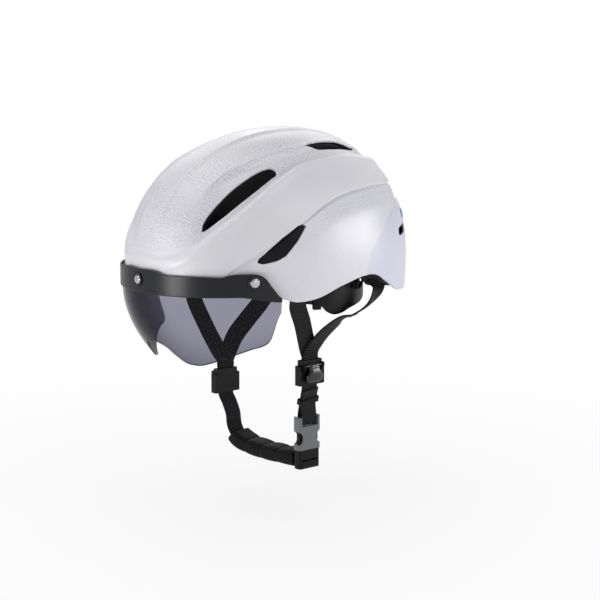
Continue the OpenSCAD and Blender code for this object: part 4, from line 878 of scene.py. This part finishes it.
# flat woven tape with a shallow rib every 2.4 mm, twice the real spacing so that it shows, and a
# slightly shiny yarn; the colour is painted lighter on the rib crests and darker between them, a
# painted highlight and shade along the ribs
rib_mm, yarn_mm = 2.4, 1.1
along, across = (add(tree, "ShaderNodeAttribute", attribute_name=name).outputs["Fac"]
                 for name in ("along_mm", "across_mm"))
slip = reckon(tree, "MULTIPLY", noise(tree, place, 260.0, 3.0), 1.6)
rib = reckon(tree, "SINE", reckon(tree, "ADD", reckon(tree, "MULTIPLY", along, 2*math.pi/rib_mm), slip))
yarn = reckon(tree, "SINE", reckon(tree, "MULTIPLY", across, 2*math.pi/yarn_mm))
weave_relief_and_sheen = reckon(tree, "MULTIPLY_ADD", yarn, 0.35, rib)
surfaced(tree, {"Roughness": 0.62, "Sheen Weight": 0.06, "Sheen Roughness": 0.4, "Specular IOR Level": 0.18,
                "Base Color": shades(tree, spread(tree, weave_relief_and_sheen, 0.0, 1.0, -1.2, 1.2), "#08080A", "#1C1C20"),
                "Normal": bumps(tree, weave_relief_and_sheen, 0.8, 0.00025)})

def geometry_tree(name, result, inputs):
    """A node tree with named inputs of a kind and value, their identifiers, and its input sockets."""
    tree = bpy.data.node_groups.new(name, "GeometryNodeTree")
    known = {}
    for key, (kind, value) in inputs.items():
        socket = tree.interface.new_socket(key, in_out="INPUT", socket_type="NodeSocket" + kind)
        if value is not None:
            socket.default_value = value
        known[key] = socket.identifier
    tree.interface.new_socket(result, in_out="OUTPUT", socket_type="NodeSocketGeometry")
    return tree, known, add(tree, "NodeGroupInput").outputs

def ended(tree, geometry, material):
    """The last nodes of a tree: its instances made real, and its material set."""
    real = add(tree, "GeometryNodeRealizeInstances", {"Geometry": geometry})
    dyed = add(tree, "GeometryNodeSetMaterial", {"Geometry": real.outputs[0], "Material": material})
    add(tree, "NodeGroupOutput", {0: dyed.outputs[0]})

def in_mm(tree, length):
    """A length in metres as mm."""
    return reckon(tree, "MULTIPLY", length, 1000.0)

strap_tree, strap_in, given = geometry_tree("webbing_along_path", "Webbing", {
    "Path": ("Geometry", None), "Width": ("Float", 0.018), "Thickness": ("Float", 0.0015),
    "Weave": ("Material", None)})
line = add(strap_tree, "GeometryNodeMeshToCurve", {"Mesh": given["Path"]})
way = add(strap_tree, "GeometryNodeInputNamedAttribute", {"Name": "across_way"}, data_type="FLOAT_VECTOR")
turned = add(strap_tree, "GeometryNodeSetCurveNormal",
             {"Curve": line.outputs[0], "Normal": way.outputs["Attribute"]}, mode="FREE")
reach = add(strap_tree, "GeometryNodeSplineParameter").outputs["Length"]
marked = add(strap_tree, "GeometryNodeStoreNamedAttribute",
             {"Geometry": turned.outputs[0], "Name": "along_mm", "Value": in_mm(strap_tree, reach)},
             data_type="FLOAT", domain="POINT")
section = add(strap_tree, "GeometryNodeCurvePrimitiveQuadrilateral",
              {"Width": given["Width"], "Height": given["Thickness"]})
section = add(strap_tree, "GeometryNodeSubdivideCurve", {"Curve": section.outputs[0], "Cuts": 5})
spot = add(strap_tree, "GeometryNodeInputPosition")
spot = add(strap_tree, "ShaderNodeSeparateXYZ", {0: spot.outputs[0]}).outputs[0]
section = add(strap_tree, "GeometryNodeStoreNamedAttribute",
              {"Geometry": section.outputs[0], "Name": "across_mm", "Value": in_mm(strap_tree, spot)},
              data_type="FLOAT", domain="POINT")
swept = add(strap_tree, "GeometryNodeCurveToMesh",
            {"Curve": marked.outputs[0], "Profile Curve": section.outputs[0], "Fill Caps": True})
ended(strap_tree, swept.outputs[0], given["Weave"])

def smooth_path(points, n=10):
    """Points between the chosen ones, on a smooth curve."""
    p = np.array(points, float)
    out = []
    for i in range(len(p) - 1):
        a, b, c, d = p[max(0, i - 1)], p[i], p[i + 1], p[min(len(p) - 1, i + 2)]
        for q in np.arange(n)/n:
            out.append(0.5*(2*b + (c - a)*q + (2*a - 5*b + 4*c - d)*q**2 + (3*b - a - 3*c + d)*q**3))
    return np.array(out + [p[-1]])

def frames_along(path):
    """Direction, width direction and thickness direction at each point of a path."""
    ahead = np.vstack([path[1:], path[-1:]])[:, :3] - np.vstack([path[:1], path[:-1]])[:, :3]
    ahead /= np.linalg.norm(ahead, axis=1)[:, None]
    wide = np.stack([np.cos(np.radians(path[:, 3])), np.sin(np.radians(path[:, 3])), 0*path[:, 3]], -1)
    wide -= ahead*np.sum(wide*ahead, 1)[:, None]
    wide /= np.linalg.norm(wide, axis=1)[:, None]
    return ahead, wide, np.cross(wide, ahead)

def run_tree(piece, tree_used, values):
    """Run a node tree on a piece with values for its inputs, and keep the result as plain mesh."""
    made = piece.modifiers.new(tree_used.name, "NODES")
    made.node_group = tree_used
    for key, value in values.items():
        made[key] = value
    return settled(piece)

def webbing(name, path, node, body=None):
    """The webbing of a CAD node along a path, which rides on a body if one is given."""
    wide = frames_along(path)[1]
    mesh = bpy.data.meshes.new(name)
    mesh.from_pydata((path[:, :3]/1000).tolist(), [(i, i + 1) for i in range(len(path) - 1)], [])
    layer = mesh.attributes.new("across_way", "FLOAT_VECTOR", "POINT")
    layer.data.foreach_set("vector", wide.astype(np.float32).ravel())
    piece = run_tree(link(name, mesh), strap_tree, {
        strap_in["Width"]: (strap_w - 0.6)/1000, strap_in["Thickness"]: (strap_t - 0.4)/1000,
        strap_in["Weave"]: webbing_black})
    soft = piece.modifiers.new("selvedge", "BEVEL")
    soft.width, soft.segments, soft.limit_method, soft.angle_limit = 0.0004, 2, "ANGLE", math.radians(50)
    swell = piece.modifiers.new("swell", "DISPLACE")
    swell.strength, swell.mid_level = 0.0002, 0.0
    settled(piece)
    piece.data.shade_smooth()
    piece.data.set_sharp_from_angle(angle=math.radians(60))
    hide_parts(node)
    if body:
        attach(piece, body)
    return piece

divider_h, divider_t = 24.0, 7.4
divider_at, divider_far, buckle_at = [60, -11, -72], [-62, -17, -100], [48.5, -4.5, -118]
head_plan, shell_plan = (79.0, 106.0, 92.0), (half_w, front_l, rear_l)
layer_gap = strap_t/2 + 0.15

def half_width(wide, front, rear_end, y):
    """Half the width of a rounded plan at y."""
    return wide*(1 - (abs(y)/(front if y < 0 else rear_end))**plan_full)**(1/plan_full)

anchor_w, anchor_t = strap_w + 4.4, 6.4
anchor_front_y, anchor_rear_y = -43, 59
anchor_front = [half_width(*head_plan, anchor_front_y + anchor_w/2) + 0.6 + anchor_t/2, anchor_front_y, 8]
anchor_rear = [0.57*half_width(*head_plan, anchor_rear_y) + 0.43*half_width(*shell_plan, anchor_rear_y),
               anchor_rear_y, 10]

def from_anchor(p, side, following):
    """Path points from a strap anchor downwards, x, y, z and the turn of the width in degrees."""
    return ([[side*p[0], p[1], p[2] + z, 90] for z in (5.5, 1, -5)]
            + [[side*(p[0] + d[0]), p[1] + d[1], p[2] + d[2], d[3]] for d in following])

def into_divider(c, layer_side, last):
    """Path points down into a divider, in its inner (-1) or outer (1) layer."""
    side = 1 if c[0] > 0 else -1
    return ([[c[0] + side*d[0], c[1] + d[1], c[2] + d[2], d[3]] for d in last]
            + [[c[0] + side*layer_side*(layer_gap + max(0, z)*0.06), c[1], c[2] + divider_h/2 + z, 90]
               for z in (6, 0, -6)])

webbing("near_front_webbing", smooth_path(
    from_anchor(anchor_front, 1, [[-4, 4, -14, 90], [-8.6, 13, -29, 90]])
    + into_divider(divider_at, -1, [[5, -9, 32, 90]])), "front_strap_left", "helmet")
webbing("near_rear_webbing", smooth_path(
    from_anchor(anchor_rear, 1, [[1, -4, -12, 112], [3, -17, -22, 126], [4.5, -33, -28, 118],
                                 [2, -48, -32, 104]])
    + into_divider(divider_at, 1, [[12, 8, 38, 94], [4.5, 1.5, 25, 90]])), "rear_strap_left", "helmet")
webbing("far_front_webbing", smooth_path(
    from_anchor(anchor_front, -1, [[-4, -2, -24, 90]])
    + into_divider(divider_far, -1, [[8, -17, 54, 90], [3, -6, 30, 90]])), "front_strap_right", "helmet")
webbing("far_rear_webbing", smooth_path(
    from_anchor(anchor_rear, -1, [[3, -1, -22, 74], [5, -13, -40, 70], [3, -33, -56, 78]])
    + into_divider(divider_far, 1, [[11, 21, 40, 86], [3.5, 5, 24, 90]])), "rear_strap_right", "helmet")

bar_z, bar_d = buckle_at[2] - 5, 3.4
turn = bar_d/2 + 0.25 + strap_t/2
keeper_low, keeper_high = np.array([50.4, -6.4, -104.5]), np.array([53.4, -7.6, -97.5])
keeper_way = (keeper_high - keeper_low)/np.linalg.norm(keeper_high - keeper_low)
tail_side = np.cross([0, 1.0, 0], keeper_way)
tail_side *= (strap_t + 0.5)/np.linalg.norm(tail_side)
tail_low, tail_high = keeper_low + tail_side, keeper_high + tail_side
lower_left = ([[*divider_at[:2], divider_at[2] + divider_h/2 - 7.6, 90], [*divider_at, 90],
               [divider_at[0] - 0.3, divider_at[1], divider_at[2] - divider_h/2 - 1, 90],
               [*keeper_high, 90], [*keeper_low, 90]]
              + [[buckle_at[0] + p*turn, buckle_at[1], bar_z + q, 90] for p, q in
                 ((-1, 7), (-1, 0), (-0.75, -0.75*turn), (0, -turn), (0.75, -0.75*turn), (1, 0), (1, 7))]
              + [[*tail_low, 90], [*tail_high, 90], [59.8, -9.6, -89.5, 90]])
tail_path = smooth_path(lower_left)
webbing("near_lower_webbing", tail_path, "lower_strap_left", "helmet")
lower_right = smooth_path([[*divider_far[:2], divider_far[2] + divider_h/2 - 7.6, 90], [*divider_far, 90],
                           [divider_far[0] + 0.3, divider_far[1], divider_far[2] - divider_h/2 - 1, 90],
                           [-58, -15.4, -122, 90], [-54.2, -14, -132, 90], [-53, -14, -138, 90]])
webbing("far_lower_webbing", lower_right, "lower_strap_right", "helmet")
softened("strap_anchor_blocks", "strap_anchors", 0.5)
softened("strap_keeper_loop", "strap_keeper", 0.35, "helmet", dial_rubber)

# stitches: dark bonded nylon thread in runs along a line, one stitch every 2.2 mm
thread, tree, place = begun("bonded_nylon_thread")
# waxed thread, a little shinier than the webbing, so that the runs catch the light
surfaced(tree, {"Roughness": 0.45, "Base Color": linear("#2C2C30"),
                "Normal": bumps(tree, noise(tree, place, 2500.0), 0.5, 0.0001)})

stitch_tree, stitch_in, given = geometry_tree("stitches_along_lines", "Stitches", {
    "Lines": ("Geometry", None), "Pitch": ("Float", 0.0022), "Thread": ("Float", 0.0003),
    "Finish": ("Material", None)})
line = add(stitch_tree, "GeometryNodeMeshToCurve", {"Mesh": given["Lines"]})
even = add(stitch_tree, "GeometryNodeResampleCurve", {"Curve": line.outputs[0], "Length": given["Pitch"]},
           mode="LENGTH")
length = reckon(stitch_tree, "MULTIPLY", given["Pitch"], 0.36)
bead = add(stitch_tree, "GeometryNodeMeshUVSphere", {"Segments": 8, "Rings": 6, "Radius": 1.0})
size = add(stitch_tree, "ShaderNodeCombineXYZ",
           {0: given["Thread"], 1: given["Thread"], 2: length})
bead = add(stitch_tree, "GeometryNodeTransform", {"Geometry": bead.outputs[0], "Scale": size.outputs[0]})
tangent = add(stitch_tree, "GeometryNodeInputTangent")
lay = add(stitch_tree, "FunctionNodeAlignRotationToVector", {"Vector": tangent.outputs[0]}, axis="Z")
placed = add(stitch_tree, "GeometryNodeInstanceOnPoints",
             {"Points": even.outputs[0], "Instance": bead.outputs[0], "Rotation": lay.outputs[0]})
ended(stitch_tree, placed.outputs[0], given["Finish"])

def stitches(name, lines, pitch=2.2, thread_d=0.55):
    """Stitches along lines of points, pitch mm apart."""
    points, edges = [], []
    for line_points in lines:
        start = len(points)
        points += [list(p) for p in line_points]
        edges += [(start + i, start + i + 1) for i in range(len(line_points) - 1)]
    mesh = bpy.data.meshes.new(name)
    mesh.from_pydata((np.array(points)/1000).tolist(), edges, [])
    piece = run_tree(link(name, mesh), stitch_tree, {
        stitch_in["Pitch"]: pitch/1000, stitch_in["Thread"]: thread_d/2000, stitch_in["Finish"]: thread})
    piece.data.shade_smooth()
    return piece

def across_strap(path, i, half, lift):
    """A straight line of points across the strap at point i of its path, lift mm off its middle."""
    ahead, wide, thick = frames_along(path)
    return [path[i, :3] + wide[i]*q + thick[i]*lift for q in np.linspace(-half, half, 9)]

tacks = [across_strap(tail_path, i, 7.4, lift) for i in (-2, -4) for lift in (0.86, -0.86)]
tacks += [across_strap(lower_right, i, 7.4, lift) for i in (-2, -4, -6) for lift in (0.86, -0.86)]
strap_tacks = stitches("strap_tacks", tacks)
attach(strap_tacks, "helmet")

# ---- Strap dividers: moulded nylon bodies in which the two webbings of a side meet.
# A polished cam lever on a pin clamps them; it swings up to let the straps slide.
softened("near_divider_body", "divider_left", 0.7, "helmet", nylon, angle=40)
softened("far_divider_body", "divider_right", 0.7, "helmet", nylon, angle=40)
polished = moulded("polished_black_nylon", "#09090B", "#101013", 0.26, 0.9, coat=0.3, specular=0.45)
# polished in the mould, so that it has the clearest highlights of the small parts

def lofted(name, rings):
    """A closed piece through rings of points, with its ends filled."""
    n, m = np.shape(rings)[:2]
    faces = [(i*m + j, i*m + (j + 1) % m, (i + 1)*m + (j + 1) % m, (i + 1)*m + j)
             for i in range(n - 1) for j in range(m)]
    faces += [tuple(range(m - 1, -1, -1)), tuple((n - 1)*m + j for j in range(m))]
    return solid_mesh(name, np.reshape(rings, (-1, 3)), faces)

def superring(half_a, half_b, power, sides):
    """Points around a ring between an ellipse and a box, as pairs."""
    return [(half_a*np.sign(c)*abs(c)**power, half_b*np.sign(s)*abs(s)**power)
            for c, s in ((math.cos(q), math.sin(q)) for q in np.arange(sides)*2*math.pi/sides)]

lever_half, pivot_r, bow_r, bow_in = 9.6, 2.1, 18, 14.3
for name, node, body, middle, side in (
        ("near_lever_cap", "divider_lever_left", "left_lever", divider_at, 1),
        ("far_lever_cap", "divider_lever_right", "right_lever", divider_far, -1)):
    pin = np.array([divider_t/2 + 2.2, 0, divider_h/2 - 5])
    rings = []
    for z in np.concatenate([-16 + 3*(1 - np.cos(np.linspace(0, math.pi/2, 7))), np.linspace(-12, -1, 12),
                             1.7*np.sin(np.linspace(0.1, math.pi/2, 7))]):
        pivot = math.sqrt(max(0, pivot_r**2 - z*z))
        outer = math.sqrt(bow_r**2 - (z + 8)**2) - bow_in if z < -1.6 else pivot
        inner = -1.6 if z < -1.6 else -pivot
        waist = 3.2*float(ease(z, -10, -3.5))
        corner = 3.5*(1 - math.sqrt(max(0, 1 - (max(0, -13 - z)/3)**2)))
        half = lever_half - waist - corner
        bite = 1.0 if z > -15.5 else 0.75
        mid, deep = (outer + inner)/2, (outer - inner)/2*bite
        rings.append([[mid + a, b, z] for a, b in superring(deep, half, 0.6, 32)])
    rings = (np.array(rings) + pin)*[side, 1, 1] + middle
    cap = lofted("cap", rings)
    pin_rings = [[[r*math.cos(q), y, r*math.sin(q)] for q in np.arange(24)*math.pi/12]
                 for y, r in ((-12, 0.8), (-11.7, 1.2), (11.7, 1.2), (12, 0.8))]
    axle = lofted("axle", (np.array(pin_rings) + pin)*[side, 1, 1] + middle)
    lever = even_normals(joined(name, [cap, axle]))
    dress(lever, polished, node, body)

# ---- Buckle: a side-release socket on the near strap and a plug with two springy prongs.
# The socket is moulded in grey acetal, and the plug and its two prongs in black nylon.
softened("buckle_socket_shell", "buckle_socket", 0.7, "helmet", grey_acetal, angle=40)
softened("buckle_plug_body", "buckle_plug", 0.7, "plug", nylon, angle=40)
softened("front_prong_spring", "plug_prong_front", 0.35, "front_prong", nylon)
softened("rear_prong_spring", "plug_prong_rear", 0.35, "rear_prong", nylon)

# ---- Chin strap and chin pad: webbing to the plug inside a sewn pad of four stuffed cells.
# The pad is smooth black neoprene over foam, stitched across between the cells and bound at its ends.
chin_low = -161.0
chin_path = smooth_path([[-52.94, -14, -138.3, 90], [-51.4, -14, -145, 90], [-47, -13, -152.5, 90],
                         [-39, -12, -157.5, 91], [-27, -10.4, -160.4, 92], [-12, -8.8, chin_low - 0.8, 92],
                         [6, -7.2, chin_low - 1, 92], [24, -5.6, chin_low - 0.4, 91],
                         [buckle_at[0] - 9, buckle_at[1], chin_low, 90],
                         [buckle_at[0] + 1, buckle_at[1], chin_low, 90]], 12)
chin = webbing("chin_webbing", chin_path, "chin_strap")
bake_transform(chin)

neoprene, tree, place = begun("black_neoprene_fabric")
# foam rubber faced with tight jersey: dull, with fine creases painted darker in their hollows and
# lighter on their ridges, a painted shade and light, and a soft edge sheen
crease = noise(tree, place, 120.0, 5.0, Distortion=0.8)
creased = bumps(tree, crease, 0.5, 0.0007)
surfaced(tree, {"Roughness": 0.8, "Sheen Weight": 0.1, "Sheen Roughness": 0.45, "Specular IOR Level": 0.18,
                "Base Color": shades(tree, crease, "#08080A", "#17171A"),
                "Normal": bumps(tree, cells(tree, place, 1200.0), 0.4, 0.0001, Normal=creased)})

chin_t, chin_cells, pad_over, tip_share = 16.0, 4, 3.5, 0.02
# the stretch of the strap that the pad covers
pad_way = chin_path[24:97]
ahead, wide, thick = frames_along(pad_way)
s = np.concatenate([[0], np.cumsum(np.linalg.norm(np.diff(pad_way[:, :3], axis=0), axis=1))])
at = np.linspace(0, s[-1], 193)
lines = [np.stack([np.interp(at, s, v[:, k]) for k in range(3)], -1) for v in (pad_way, wide, thick)]
rings = []
for i, q in enumerate(at/s[-1]):
    cell = abs(math.sin(q*math.pi*chin_cells))
    above, below = 0.74 + 0.26*cell**0.42, 0.93 + 0.05*cell**0.5
    tip = min(1.0, min(q, 1 - q)/tip_share)
    end = 0.75 + 0.25*math.sqrt(max(0.0, 1 - (1 - tip)**2))
    w, t = (strap_w/2 + pad_over)*(0.93 + 0.07*cell**0.6), chin_t/2*end
    rings.append([lines[0][i] + lines[1][i]*w*np.sign(c)*abs(c)**0.55
                  + lines[2][i]*t*(below if k > 0 else above)*np.sign(k)*abs(k)**0.55
                  for c, k in [(math.cos(a), math.sin(a)) for a in np.arange(48)*math.pi/24]])
chin_cushion = lofted("chin_cushion", rings)
chin_cushion.data.materials.append(neoprene)
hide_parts("chin_pad")
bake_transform(chin_cushion)

# a seam round the pad between the cells and one near each end
seams = [[*rings[i], rings[i][0]] for i in (3, 48, 96, 144, 189)]
chin_seams = stitches("chin_seams", seams, 2.0, 0.6)
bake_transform(chin_seams)
